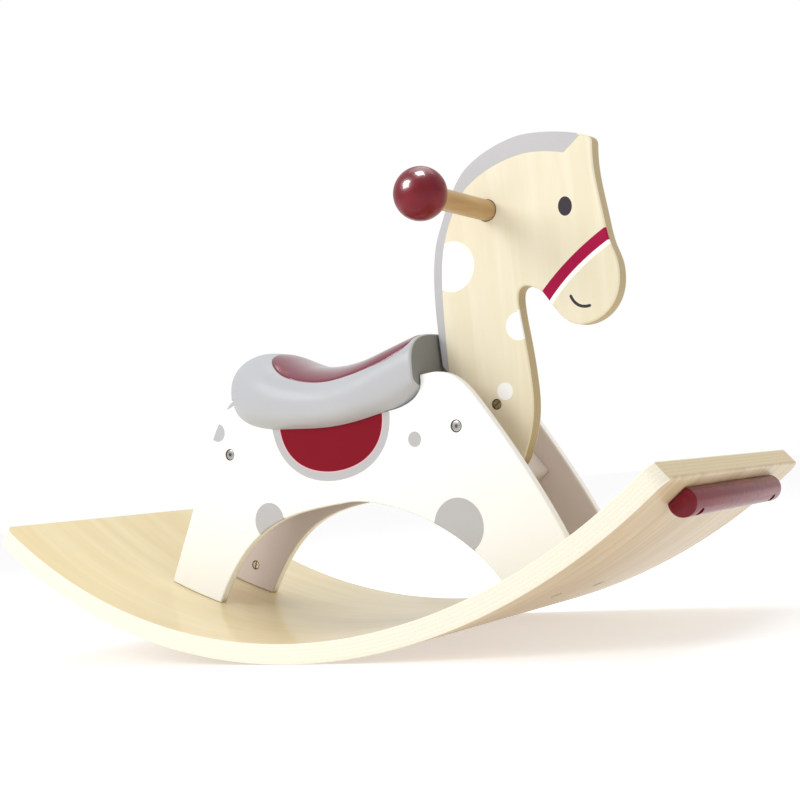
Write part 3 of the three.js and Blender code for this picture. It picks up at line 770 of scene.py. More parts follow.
def lathe(
    name: str, profile: Sequence[Point], material: bpy.types.Material, sides: int = 48
) -> bpy.types.Object:
    """Turns a profile of (radius, height) round the Z axis. It starts and ends on the axis.

    Args:
        name: the piece's name.
        profile: (radius, height) pairs, from the low end up.
        material: its finish.
        sides: how many flats go round.

    Returns:
        The turned piece.
    """
    draft = MeshDraft()
    rings = []
    for radius, height in profile[1:-1]:
        turns = [2 * math.pi * i / sides for i in range(sides)]
        rings.append([draft.point(radius * math.cos(t), radius * math.sin(t), height) for t in turns])
    draft.skin(rings, lambda k, i: 0)
    for (_, height), ring, turned in (
        (profile[0], rings[0], True), (profile[-1], rings[-1], False),
    ):
        pole = draft.point(0.0, 0.0, height)
        for i in range(sides):
            j = (i + 1) % sides
            corners = (ring[i], ring[j], pole)
            draft.face(corners[::-1] if turned else corners)
    piece = draft.finish(name, [material])
    crease(piece)
    return piece


def crease(piece: bpy.types.Object, angle: float = 35.0) -> None:
    """Keeps edges sharper than an angle crisp on a smooth mesh."""
    mesh = piece.data
    mesh.set_sharp_from_angle(angle=math.radians(angle))


def drum(radius: float, low: float, high: float, sides: int = 40) -> bpy.types.Object:
    """A plain cylinder along Z, used only to cut with."""
    bare = bpy.data.materials.get("cutter") or bpy.data.materials.new("cutter")
    return lathe("cutter", [(0, low), (radius, low), (radius, high), (0, high)], bare, sides)


def stepped_drum(wide: float, narrow: float, step: float, length: float) -> bpy.types.Object:
    """A cutter along Z for a counterbore and the thinner hole beyond it.

    Args:
        wide: the counterbore's radius.
        narrow: the hole's radius.
        step: the height at which the hole narrows.
        length: the height at which it ends.

    Returns:
        The cutter, which starts a little below zero.
    """
    bare = bpy.data.materials.get("cutter") or bpy.data.materials.new("cutter")
    profile = [(0, -4.0), (wide, -4.0), (wide, step), (narrow, step), (narrow, length), (0, length)]
    return lathe("cutter", profile, bare, 41)


def block(size: Sequence[float], centre: Sequence[float]) -> bpy.types.Object:
    """A plain block, used only to cut with.

    Args:
        size: its three lengths.
        centre: its middle.

    Returns:
        The cutter.
    """
    draft = MeshDraft()
    half = [s / 2 for s in size]
    corners = []
    for i in range(8):
        signs = [1 if i >> k & 1 else -1 for k in range(3)]
        corners.append(draft.point(*(c + s * h for c, s, h in zip(centre, signs, half))))
    for quad in ((0, 4, 6, 2), (1, 3, 7, 5), (0, 1, 5, 4), (2, 6, 7, 3), (0, 2, 3, 1), (4, 5, 7, 6)):
        draft.face([corners[i] for i in quad], 0, False)
    return draft.finish("cutter", [])


def set_down(piece: bpy.types.Object, matrix: Matrix) -> bpy.types.Object:
    """Moves a piece by a matrix whose shift is in millimetres, inside its mesh.

    Args:
        piece: the piece.
        matrix: where its origin goes.

    Returns:
        The same piece.
    """
    metres = matrix.copy()
    metres.translation = matrix.translation * MM
    piece.data.transform(metres)
    return piece


def freeze(piece: bpy.types.Object) -> bpy.types.Object:
    """Applies a piece's modifiers to its mesh.

    Args:
        piece: the piece.

    Returns:
        The same piece, with a plain mesh.
    """
    graph = bpy.context.evaluated_depsgraph_get()
    old = piece.data
    piece.data = bpy.data.meshes.new_from_object(piece.evaluated_get(graph))
    piece.modifiers.clear()
    bpy.data.meshes.remove(old)
    return piece


def carve(piece: bpy.types.Object, cutters: Iterable[bpy.types.Object]) -> bpy.types.Object:
    """Cuts pieces out of another and removes the cutters.

    Args:
        piece: what is cut.
        cutters: closed pieces that are taken away.

    Returns:
        The same piece, with its new mesh.
    """
    for cutter in cutters:
        modifier = piece.modifiers.new("cut", "BOOLEAN")
        modifier.operation = "DIFFERENCE"
        modifier.solver = "EXACT"
        modifier.object = cutter
        freeze(piece)
        mesh = cutter.data
        bpy.data.objects.remove(cutter)
        bpy.data.meshes.remove(mesh)
    return piece


# ------------------------------------------------------------------ flat plates


@dataclass
class Bore:
    """A round hole in a plate: side -1 opens at low y, 1 at high y, 0 goes through."""

    x: float
    z: float
    radius: float
    side: int = 0
    depth: float = 0.0


@dataclass
class PaintArea:
    """A painted stretch of a plate's faces, with its material slot on each face."""

    loop: list[Vector]
    low_slot: int
    high_slot: int


@dataclass
class Plate:
    """A flat plate whose outline lies in the side view, with rounded edges and bores."""

    name: str
    loop: list[Vector]
    low: float
    high: float
    rounding: float
    materials: list[bpy.types.Material]
    rim_slot: int
    bore_slot: int
    areas: list[PaintArea] = field(default_factory=list)
    bores: list[Bore] = field(default_factory=list)
    bore_rounding: float = 0.35
    round_steps: int = 5

    def build(self) -> bpy.types.Object:
        """Makes the plate as one closed mesh.

        Returns:
            The plate.
        """
        self.draft = MeshDraft()
        self.split_faces()
        self.face_points = {
            y: [self.draft.point(v.x, y, v.y) for v in self.spots] for y in (self.low, self.high)
        }
        for triangle, bore, area in self.triangles:
            for y, turned in ((self.low, False), (self.high, True)):
                if bore is not None and bore.side in (0, -1 if y == self.low else 1):
                    continue
                corners = [self.face_points[y][i] for i in triangle]
                slot = 0
                if area is not None:
                    slot = area.low_slot if y == self.low else area.high_slot
                self.draft.face(corners[::-1] if turned else corners, slot, False)
        self.make_rim()
        for bore in self.bores:
            self.make_bore(bore)
        piece = self.draft.finish(self.name, self.materials)
        drop_loose_points(piece)
        return piece

    def split_faces(self) -> None:
        """Divides the flat face into triangles along the paint areas and bores."""
        self.inner = moved_out(self.loop, -self.rounding)
        bore_loops = [
            circle(b.x, b.z, b.radius + self.bore_rounding, 36) for b in self.bores
        ]
        loops = [self.inner, *(a.loop for a in self.areas), *bore_loops]
        spots, edges = [], []
        for loop in loops:
            start = len(spots)
            spots.extend(loop)
            edges.extend((start + i, start + (i + 1) % len(loop)) for i in range(len(loop)))
        found = delaunay_2d_cdt(spots, edges, [], 0, 1e-4)
        self.spots = found[0]
        self.triangles = []
        for corners in found[2]:
            a, b, c = (self.spots[i] for i in corners)
            if signed_area((a, b, c)) < 0:
                corners = corners[::-1]
            middle = (a + b + c) / 3
            if not inside(middle, self.inner):
                continue
            bore = next((b for b, l in zip(self.bores, bore_loops) if inside(middle, l)), None)
            area = next((a for a in reversed(self.areas) if inside(middle, a.loop)), None)
            self.triangles.append((tuple(corners), bore, area))

    def border(self, triangles: Iterable[Sequence[int]]) -> list[int]:
        """The longest closed border round a set of triangles, in order.

        Args:
            triangles: corner numbers, three at a time.

        Returns:
            Point numbers round the border.
        """
        ahead = {}
        used = {(t[k], t[(k + 1) % 3]) for t in triangles for k in range(3)}
        for a, b in used:
            if (b, a) not in used:
                ahead[a] = b
        longest: list[int] = []
        while ahead:
            start = next(iter(ahead))
            loop = [start]
            here = ahead.pop(start)
            while here != start:
                loop.append(here)
                here = ahead.pop(here)
            if len(loop) > len(longest):
                longest = loop
        return longest

    def along_inner(self, spot: Vector) -> tuple[int, float]:
        """Which side of the inner loop a point lies on, and how far along it.

        Args:
            spot: the point.

        Returns:
            The side's number, and how far along it from 0 to 1.
        """
        best = (1e9, 0, 0.0)
        for i, a in enumerate(self.inner):
            b = self.inner[(i + 1) % len(self.inner)]
            side = b - a
            t = min(max((spot - a).dot(side) / side.length_squared, 0.0), 1.0)
            best = min(best, ((a + side * t - spot).length, i, t))
        return best[1], best[2]

    def make_rim(self) -> None:
        """Closes the plate's outer edge with a quarter round at each face."""
        outer = self.border(t for t, _, _ in self.triangles)
        where = [self.along_inner(self.spots[i]) for i in outer]
        rings = [[self.face_points[self.low][i] for i in outer]]
        for at_low in (True, False):
            steps = range(1, self.round_steps + 1)
            for k in steps if at_low else reversed(steps):
                turn = math.pi / 2 * k / self.round_steps
                line = moved_out(self.loop, -self.rounding * (1 - math.sin(turn)))
                drop = self.rounding * (1 - math.cos(turn))
                y = self.low + drop if at_low else self.high - drop
                ring = []
                for i, t in where:
                    spot = line[i].lerp(line[(i + 1) % len(line)], t)
                    ring.append(self.draft.point(spot.x, y, spot.y))
                rings.append(ring)
        rings.append([self.face_points[self.high][i] for i in outer])
        low_slots = [self.face_slot(i, True) for i in outer]
        high_slots = [self.face_slot(i, False) for i in outer]

        def slot(k: int, i: int) -> int:
            """The face's paint on the rounding, the rim's own finish between.

            Args:
                k: the ring's number.
                i: the border point's number.

            Returns:
                The slot.
            """
            if k < self.round_steps:
                return low_slots[i]
            return high_slots[i] if k > self.round_steps else self.rim_slot

        self.draft.skin(rings, slot, turned=True)

    def face_slot(self, number: int, at_low: bool) -> int:
        """The slot of the flat face just inside a border point.

        Args:
            number: the border point's number.
            at_low: whether the face at low y is meant.

        Returns:
            The slot.
        """
        spot = self.spots[number]
        i, t = self.along_inner(spot)
        normals = side_normals(self.inner)
        inwards = -normals[i].lerp(normals[(i + 1) % len(normals)], t)
        probe = spot + inwards * 0.4
        area = next((a for a in reversed(self.areas) if inside(probe, a.loop)), None)
        if area is None:
            return 0
        return area.low_slot if at_low else area.high_slot

    def make_bore(self, bore: Bore) -> None:
        """Makes one bore's rounded lip, wall and, if it is blind, its floor.

        Args:
            bore: the bore.
        """
        mine = [t for t, b, _ in self.triangles if b is bore]
        ring_spots = self.border(mine)
        centre = Vector((bore.x, bore.z))
        shrink = bore.radius / (bore.radius + self.bore_rounding)

        def ring(y: float) -> dict[int, int]:
            """Every point of the bore at its own radius, at a height y.

            Args:
                y: the height.

            Returns:
                The new points by their spots' numbers.
            """
            made = {}
            for i in {i for t in mine for i in t}:
                spot = centre + (self.spots[i] - centre) * shrink
                made[i] = self.draft.point(spot.x, y, spot.y)
            return made

        if bore.side <= 0:
            mouth, end, step = self.low, self.high, 1
        else:
            mouth, end, step = self.high, self.low, -1
        lip = ring(mouth + step * self.bore_rounding)
        rings = [[self.face_points[mouth][i] for i in ring_spots], [lip[i] for i in ring_spots]]
        if bore.side == 0:
            far = ring(end - step * self.bore_rounding)
            rings.append([far[i] for i in ring_spots])
            rings.append([self.face_points[end][i] for i in ring_spots])
        else:
            floor = ring(mouth + step * bore.depth)
            rings.append([floor[i] for i in ring_spots])
            for triangle in mine:
                corners = [floor[i] for i in triangle]
                self.draft.face(corners if step > 0 else corners[::-1], self.bore_slot, False)
        self.draft.skin(rings, lambda k, i: self.bore_slot, turned=step < 0)


def drop_loose_points(piece: bpy.types.Object) -> None:
    """Deletes points that no face uses.

    Args:
        piece: the piece.
    """
    made = bmesh.new()
    made.from_mesh(piece.data)
    loose = [v for v in made.verts if not v.link_faces]
    bmesh.ops.delete(made, geom=loose, context="VERTS")
    made.to_mesh(piece.data)
    made.free()


# ------------------------------------------------------------------ enlisting


class Crew:
    """Hands finished pieces to the frame and keeps count of them."""

    def __init__(self) -> None:
        """Starts with no pieces."""
        self.count = 0

    def enlist(self, piece: bpy.types.Object, slot: str, *nodes: str) -> None:
        """Lets a piece stand for its nodes and ride on the horse's one body.

        Args:
            piece: the finished piece.
            slot: a material slot's name; not used.
            nodes: the frame's nodes that the piece stands for.
        """
        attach(piece, "root")
        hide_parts(*nodes)
        self.count += 1
        log.info("%s: %d faces, stands for %s", piece.name, len(piece.data.polygons), nodes)


# ------------------------------------------------------------------ rocker board


@dataclass
class Rocker:
    """The bent board and the two bars under its ends."""

    radius: float = 542.0
    thickness: float = 16.5
    width: float = 300.0
    arc_length: float = 736.0
    corner_radius: float = 12.0
    edge_round: float = 2.0
    bar_length: float = 194.0
    bar_radius: float = 11.0
    bar_depth: float = 17.0
    bar_from_end: float = 21.0
    bar_round: float = 1.5
    screw_spacing: float = 162.0
    screw_recess: float = 2.2
    screw_seat: float = 3.0
    screw_head: float = 8.0
    leg_bolt_x: float = 185.75
    leg_bolt_y: float = 38.5
    leg_bore: float = 10.6
    leg_hole: float = 5.6
    leg_recess: float = 5.6
    screw_hole: float = 4.6
    screw_bite: float = 9.0
    clear: float = 3.0
    round_steps: int = 5
    straight_steps: int = 90
    end_steps: int = 18
    facets: int = 41

    @property
    def centre(self) -> Point:
        """The middle of the rocker's arc in the side view."""
        return 0.0, self.radius

    @property
    def underside(self) -> float:
        """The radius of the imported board's facet corners."""
        return self.radius / math.cos(self.arc_length / self.radius / 2 / self.facets)

    @property
    def leg_bolt_angle(self) -> float:
        """The angle of the front leg bolts from the vertical."""
        return math.asin(self.leg_bolt_x / (self.radius - self.thickness))

    @property
    def bar_angle(self) -> float:
        """The angle of the front bar's middle from the vertical."""
        return (self.arc_length / 2 - self.bar_from_end) / self.radius

    @property
    def bar_flat(self) -> float:
        """The radius of the bars' flats, just clear of the underside."""
        return self.underside + GAP

    def on_arc(self, angle: float, radius: float, y: float) -> Matrix:
        """The place on an arc where local +Z points at the arc's centre.

        Args:
            angle: the angle from the vertical, towards the front.
            radius: the distance from the arc's centre.
            y: the place across the board.

        Returns:
            The place.
        """
        x = radius * math.sin(angle)
        z = self.radius - radius * math.cos(angle)
        return Matrix.Translation((x, y, z)) @ Matrix.Rotation(-angle, 4, "Y")

    def section(self, half_width: float, inset: float) -> list[Point]:
        """The board's rounded section as (y, height above the underside).

        Args:
            half_width: half the board's width here.
            inset: how far the faces are drawn in.

        Returns:
            The points in order.
        """
        radius = max(self.edge_round - inset, 0.02)
        low, high = inset + radius, self.thickness - inset - radius
        reach = half_width - radius
        points = []
        corners = ((reach, low, -90), (reach, high, 0), (-reach, high, 90), (-reach, low, 180))
        for y, height, start in corners:
            for k in range(self.round_steps + 1):
                turn = math.radians(start + 90 * k / self.round_steps)
                points.append((y + radius * math.cos(turn), height + radius * math.sin(turn)))
        return points

    def stations(self) -> list[tuple[float, float, float]]:
        """Places along the board as (arc length, half width, inset of the faces).

        Returns:
            The places, from the rear end to the front.
        """
        half = self.arc_length / 2
        body = half - self.corner_radius
        steps = self.straight_steps
        forward = [(body * i / steps, self.width / 2, 0.0) for i in range(steps + 1)]
        for k in range(1, self.end_steps + 1):
            turn = math.pi / 2 * k / self.end_steps
            at = body + self.corner_radius * math.sin(turn)
            wide = self.width / 2 - self.corner_radius * (1 - math.cos(turn))
            left = max(self.edge_round - (half - at), 0.0)
            inset = self.edge_round - math.sqrt(max(self.edge_round**2 - left**2, 0.0))
            forward.append((at, wide, inset))
        return [(-s, w, i) for s, w, i in forward[:0:-1]] + forward

    def build_board(self, finishes: dict[str, bpy.types.Material]) -> bpy.types.Object:
        """Makes the bent board with its four counterbores.

        Args:
            finishes: the materials by their names.

        Returns:
            The board.
        """
        draft = MeshDraft()
        rings = []
        spots = self.stations()
        for along, half_width, inset in spots:
            angle = along / self.radius
            ring = []
            for y, height in self.section(half_width, inset):
                reach = self.radius - height
                ring.append(
                    draft.point(reach * math.sin(angle), y, self.radius - reach * math.cos(angle))
                )
            rings.append(ring)

        top, under, side, end = range(4)
        top_side, under_side = 2 * self.round_steps + 1, 4 * self.round_steps + 3

        def slot(k: int, i: int) -> int:
            """Veneer on the two broad faces, cut edge elsewhere.

            Args:
                k: the ring's number.
                i: the number of the side of the section.

            Returns:
                The slot.
            """
            if i in (top_side, under_side):
                return top if i == top_side else under
            return end if spots[k][2] > 0.05 else side

        draft.skin(rings, slot, turned=True)
        draft.face(rings[0], end, False)
        draft.face(rings[-1][::-1], end, False)
        # The underside and end finishes are darker copies of the veneer and the side edge: painted shade.
        keys = ("board_veneer", "board_under_shaded", "board_edge_lit", "board_end_shaded")
        board = draft.finish("bent_board", [finishes[key] for key in keys])
        cutters = []
        for end in (-1, 1):
            for side in (-1, 1):
                place = self.on_arc(end * self.leg_bolt_angle, self.radius, side * self.leg_bolt_y)
                through = self.thickness + self.clear
                hole = stepped_drum(self.leg_bore / 2, self.leg_hole / 2, self.leg_recess, through)
                cutters.append(set_down(hole, place))
                turn = end * self.bar_angle
                screw = self.on_arc(turn, self.radius, side * self.screw_spacing / 2)
                cutters.append(set_down(drum(self.screw_hole / 2, -self.clear, self.screw_bite), screw))
        carve(board, cutters)
        crease(board)
        return board

    def build_bar(self, name: str, end: int, material: bpy.types.Material) -> bpy.types.Object:
        """Makes one half-round bar with its flat on the board and two counterbores.

        Args:
            name: the piece's name.
            end: 1 for the front, -1 for the rear.
            material: its finish.

        Returns:
            The bar.
        """
        flat = self.bar_depth - self.bar_radius
        start = math.asin(flat / self.bar_radius)
        steps = 45
        loop = []
        for i in range(steps + 1):
            turn = math.pi - start + (math.pi + 2 * start) * i / steps
            loop.append(Vector((math.cos(turn), math.sin(turn))) * self.bar_radius)
        half = self.bar_length / 2
        plate = Plate(name, loop, -half, half, self.bar_round, [material], 0, 0)
        bar = plate.build()
        place = self.on_arc(end * self.bar_angle, self.bar_flat + flat, 0.0)
        set_down(bar, place)
        cutters = []
        head = self.bar_flat + self.bar_depth
        for side in (-1, 1):
            spot = self.on_arc(end * self.bar_angle, head, side * self.screw_spacing / 2)
            head_room = self.screw_recess + self.screw_seat
            hole = stepped_drum(self.screw_head / 2 + GAP, self.screw_hole / 2, head_room, 24.0)
            cutters.append(set_down(hole, spot))
        carve(bar, cutters)
        crease(bar)
        return bar


# ------------------------------------------------------------------ panels


@dataclass
class LegPanels:
    """The two side panels that make the horse's legs and belly."""

    rocker: Rocker
    gap: float = 68.0
    thickness: float = 9.0
    rounding: float = 1.4
    rear_back: float = -219.0
    rear_front: float = -160.0
    front_back: float = 151.0
    front_front: float = 215.0
    bolt_bore: float = 10.2
    bolt_depth: float = 4.0
    nut_bore: float = 8.6
    nut_depth: float = 7.6
    nut_height: float = 21.0

    @property
    def foot_radius(self) -> float:
        """The radius that the feet follow, just above the board."""
        return self.rocker.radius - self.rocker.thickness - GAP

    def foot_height(self, x: float) -> float:
        """The height of the feet's underside at x."""
        return self.rocker.radius - math.sqrt(self.foot_radius**2 - x * x)

    def outline(self) -> list[Vector]:
        """The panel's outline, from the rear foot over the back to the arch.

        Returns:
            The loop.
        """
        line = Outline(self.rear_back, self.foot_height(self.rear_back))
        line.line(-155, 189)
        line.curve(-148, 203, -141, 214, -122, 230.5)
        line.curve(-108, 243, -100, 220, -90, 214)
        line.curve(-60, 197, 20, 197, 58, 200)
        line.curve(76, 202.5, 86.5, 210, 86.5, 221)
        line.line(86.5, 226)
        line.line(100, 226.5)
        line.curve(119, 226, 130, 213, 140, 198.5)
        line.curve(160, 169, 196, 112, self.front_front, self.foot_height(self.front_front))
        line.arc(self.foot_radius, self.rocker.centre, self.front_front, self.front_back)
        line.curve(121, 94, 42, 127, -5, 124, steps=30)
        rear = self.foot_height(self.rear_front)
        line.curve(-68, 119, -114, 118, self.rear_front, rear, steps=30)
        line.arc(self.foot_radius, self.rocker.centre, self.rear_front, self.rear_back)
        return line.closed()

    def blanket(self, inner: bool) -> list[Vector]:
        """The painted blanket below the saddle: its grey border or its red field.

        Args:
            inner: whether the red field is meant.

        Returns:
            The loop.
        """
        if inner:
            line = Outline(-69, 206).line(-69, 194)
            line.curve(-66, 168, -44, 153, -12, 152.6).curve(20, 153, 43, 168, 44.5, 196)
            return line.line(44.5, 206).closed()
        line = Outline(-78, 206).line(-78, 196)
        line.curve(-75, 166, -50, 144.5, -13, 144.2).curve(27, 144.5, 52, 166, 52.5, 198)
        return line.line(52.5, 206).closed()

    def build(
        self, name: str, side: int, finishes: dict[str, bpy.types.Material],
        side_bolts: Sequence[Point],
    ) -> bpy.types.Object:
        """Makes one panel with its painted outer face and a greyer inner face, which is painted shade.

        Args:
            name: the piece's name.
            side: 1 for the horse's left, -1 for its right.
            finishes: materials by their plain names.
            side_bolts: where the bolts go through, in the side view.

        Returns:
            The panel.
        """
        white, grey, red, pink, bore, shaded_inner_face = range(6)
        spots = [(75.4, 172.0, 6.6), (110.3, 95.5, 24.0), (-91.3, 113.7, 17.0), (-144.2, 200.9, 8.5)]
        painted = [(circle(*spot), grey) for spot in spots]
        rump = Outline(-136, 219).line(-121.5, 224).line(-121.5, 236).line(-139, 236).closed()
        painted.append((rump, grey))
        painted.append((self.blanket(False), grey))
        painted.append((moved_out(self.blanket(True), 1.0), pink))
        painted.append((self.blanket(True), red))
        everywhere = moved_out(self.outline(), 5.0)
        # The face towards the other panel takes a greyer, pinker white: painted shade between the panels.
        areas = [
            PaintArea(loop, slot if side < 0 else shaded_inner_face, slot if side > 0 else shaded_inner_face)
            for loop, slot in [(everywhere, white), *painted]
        ]
        # Bore walls take the dark bore colour, which is painted shade inside the holes.
        bores = [Bore(x, z, self.bolt_bore / 2, side, self.bolt_depth) for x, z in side_bolts]
        reach = self.rocker.radius - self.rocker.thickness - self.nut_height
        for end in (-1, 1):
            turn = end * self.rocker.leg_bolt_angle
            x, z = reach * math.sin(turn), self.rocker.radius - reach * math.cos(turn)
            bores.append(Bore(x, z, self.nut_bore / 2, -side, self.nut_depth))
        near, far = self.gap / 2, self.gap / 2 + self.thickness
        materials = [finishes[key] for key in ("white", "grey", "red", "pink", "bore", "inner")]
        return Plate(
            name, self.outline(), min(side * near, side * far), max(side * near, side * far),
            self.rounding, materials, white, bore, areas, bores,
        ).build()


# ------------------------------------------------------------------ braces


@dataclass
class Brace:
    """A leaning plate between the panels, measured from the lower edge of one face."""

    name: str
    foot: Point
    lean: float
    length: float
    bolt_at: float
    face: int
    thickness: float = 16.0
    gap: float = 68.0
    rounding: float = 1.0

    def at(self, along: float, off: float) -> Vector:
        """A point in the side view, up the plate and in front of its measured face.

        Args:
            along: how far up the plate.
            off: how far in front of its measured face.

        Returns:
            The point.
        """
        turn = math.radians(self.lean)
        x = self.foot[0] - along * math.sin(turn) + off * math.cos(turn)
        z = self.foot[1] + along * math.cos(turn) + off * math.sin(turn)
        return Vector((x, z))

    @property
    def bolt(self) -> Vector:
        """Where the side bolts run, in the middle of the plate's thickness."""
        return self.at(self.bolt_at, self.face * self.thickness / 2)

    def build(self, material: bpy.types.Material) -> bpy.types.Object:
        """Makes the plate with rounded edges.

        Args:
            material: its finish.

        Returns:
            The plate.
        """
        back = self.face * self.thickness
        corners = ((0, 0), (self.length, 0), (self.length, back), (0, back))
        loop = [self.at(*corner) for corner in corners]
        if signed_area(loop) < 0:
            loop.reverse()
        half = self.gap / 2 - GAP
        return Plate(self.name, loop, -half, half, self.rounding, [material], 0, 0).build()


# ------------------------------------------------------------------ head


@dataclass
class Head:
    """The flat head and neck with the grip bar through it."""

    brace: Brace
    thickness: float = 15.0
    rounding: float = 1.6
    seat_from: float = 9.0
    seat_to: float = 122.4
    grip: Point = (148.0, 359.5)
    grip_radius: float = 9.0
    ball_radius: float = 21.5
    ball_y: float = 111.5
    into_ball: float = 14.0
    nut_bore: float = 8.6
    nut_depth: float = 12.1
    nuts_at: tuple[tuple[float, int], ...] = ((61.5, -1), (90.0, 1))
    nut_ahead: float = 18.0

    def outline(self) -> list[Vector]:
        """The head's outline, from the heel of the neck up over the crest.

        Returns:
            The loop.
        """
        heel = self.brace.at(self.seat_to, GAP)
        tip = self.brace.at(self.seat_from, GAP)
        line = Outline(*heel)
        line.curve(87, 262, 84, 322, 98, 349, steps=24)
        line.curve(104, 361, 116, 387.8, 129.4, 398.3)
        line.curve(140.4, 406.9, 160, 414, 180, 416)
        line.curve(199, 418, 234, 409, 247.5, 401.5)
        line.bend(251, 399.4, 250.6, 395)
        line.curve(248, 372, 251, 360, 254.4, 327.4)
        line.curve(256, 306, 262, 304, 262, 288)
        line.curve(262, 262, 244, 250, 228, 249.6)
        line.curve(209, 249, 203, 266, 192, 282)
        line.curve(187, 286, 170, 298, 169.1, 279.5)
        line.curve(168.6, 262, 172.6, 246, 173.5, 210)
        line.curve(174.3, 185, 171, 170, 158.6, 145.6)
        line.line(*tip)
        return line.closed()

    def mane(self) -> list[Vector]:
        """The painted mane: a band that follows the crest, closed outside the outline.

        Returns:
            The loop.
        """
        line = Outline(94.7, 215)
        line.curve(95.5, 262, 94, 306, 101.5, 333)
        line.curve(107, 352, 115, 367, 129, 381.6)
        line.curve(146, 394, 170, 400, 190, 399.6)
        line.curve(202, 399, 214, 396, 225, 392.1)
        line.line(243.5, 404.5)
        line.line(243, 430)
        line.line(110, 430)
        line.line(70, 330)
        line.line(70, 215)
        return line.closed()

    def bridle(self, stripe: bool) -> list[Vector]:
        """The noseband across the cheek, or the white stripe under it.

        Args:
            stripe: whether the white stripe is meant.

        Returns:
            The loop.
        """
        if stripe:
            upper = Outline(190, 264).curve(206, 284, 228, 302, 264, 317.5)
            lower = Outline(192.6, 260.5).curve(208, 280.5, 230, 298.5, 266, 314)
        else:
            upper = Outline(184, 274).curve(202, 293, 226, 312, 262, 328)
            lower = Outline(190, 264).curve(206, 284, 228, 302, 264, 317.5)
        return [*upper.points, *reversed(lower.points)]

    def build(self, finishes: dict[str, bpy.types.Material]) -> bpy.types.Object:
        """Makes the painted head with its holes.

        Args:
            finishes: materials by their plain names.

        Returns:
            The head.
        """
        # The edge slot's colour is partly the ply's own tone and partly painted shade on the rim.
        _, grey, white, ink, red, edge, bare = range(7)
        smile = Outline(217.6, 274.2).curve(219.5, 268, 224.5, 262.5, 233.8, 263.6).points
        painted = [
            (circle(108.6, 317.9, 22.0), white),
            (self.mane(), grey),
            (circle(167.0, 257.1, 12.0), white),
            (circle(147.7, 204.3, 7.5), white),
            (self.bridle(True), white),
            (self.bridle(False), red),
            (ellipse(221.2, 348.1, 6.3, 8.0), ink),
            (band(smile, 2.5), ink),
        ]
        areas = [PaintArea(loop, slot, slot) for loop, slot in painted]
        bores = [Bore(*self.grip, self.grip_radius + GAP)]
        for along, side in self.nuts_at:
            spot = self.brace.at(along, self.nut_ahead)
            bores.append(Bore(spot.x, spot.y, self.nut_bore / 2, side, self.nut_depth))
        # The bare slot is the dark bore colour: painted shade inside the holes.
        keys = ("veneer", "grey", "white", "ink", "bridle", "edge", "bare")
        half = self.thickness / 2
        return Plate(
            "head_plate", self.outline(), -half, half, self.rounding,
            [finishes[key] for key in keys], edge, bare, areas, bores,
        ).build()

    def build_bar(self, material: bpy.types.Material) -> bpy.types.Object:
        """Makes the grip bar with softened ends, hidden inside the balls.

        Args:
            material: its finish.

        Returns:
            The bar.
        """
        half = self.ball_y - self.ball_radius + self.into_ball
        radius, soft = self.grip_radius, 0.8
        profile = [
            (0, -half), (radius - soft, -half), (radius, -half + soft),
            (radius, half - soft), (radius - soft, half), (0, half),
        ]
        bar = lathe("grip_rod", profile, material, 64)
        place = Matrix.Translation((self.grip[0], 0, self.grip[1]))
        return set_down(bar, place @ Matrix.Rotation(math.radians(-90), 4, "X"))

    def build_ball(self, name: str, side: int, material: bpy.types.Material) -> bpy.types.Object:
        """Turns one ball, with the bore that the grip bar sits in.

        Args:
            name: the piece's name.
            side: 1 for the horse's left, -1 for its right.
            material: its finish.

        Returns:
            The ball.
        """
        bore, lip = self.grip_radius + GAP, 0.7
        mouth = -math.sqrt(self.ball_radius**2 - (bore + lip) ** 2)
        floor = -self.ball_radius + self.into_ball + GAP
        profile = [(0, floor), (bore, floor), (bore, mouth + lip), (bore + 0.2 * lip, mouth + 0.3 * lip)]
        start = math.asin((bore + lip) / self.ball_radius)
        steps = 40
        for i in range(steps):
            turn = start + (math.pi - start) * i / steps
            profile.append((self.ball_radius * math.sin(turn), -self.ball_radius * math.cos(turn)))
        profile.append((0, self.ball_radius))
        ball = lathe(name, profile, material, 72)
        place = Matrix.Translation((self.grip[0], side * self.ball_y, self.grip[1]))
        return set_down(ball, place @ Matrix.Rotation(math.radians(-90 * side), 4, "X"))


# ------------------------------------------------------------------ saddle


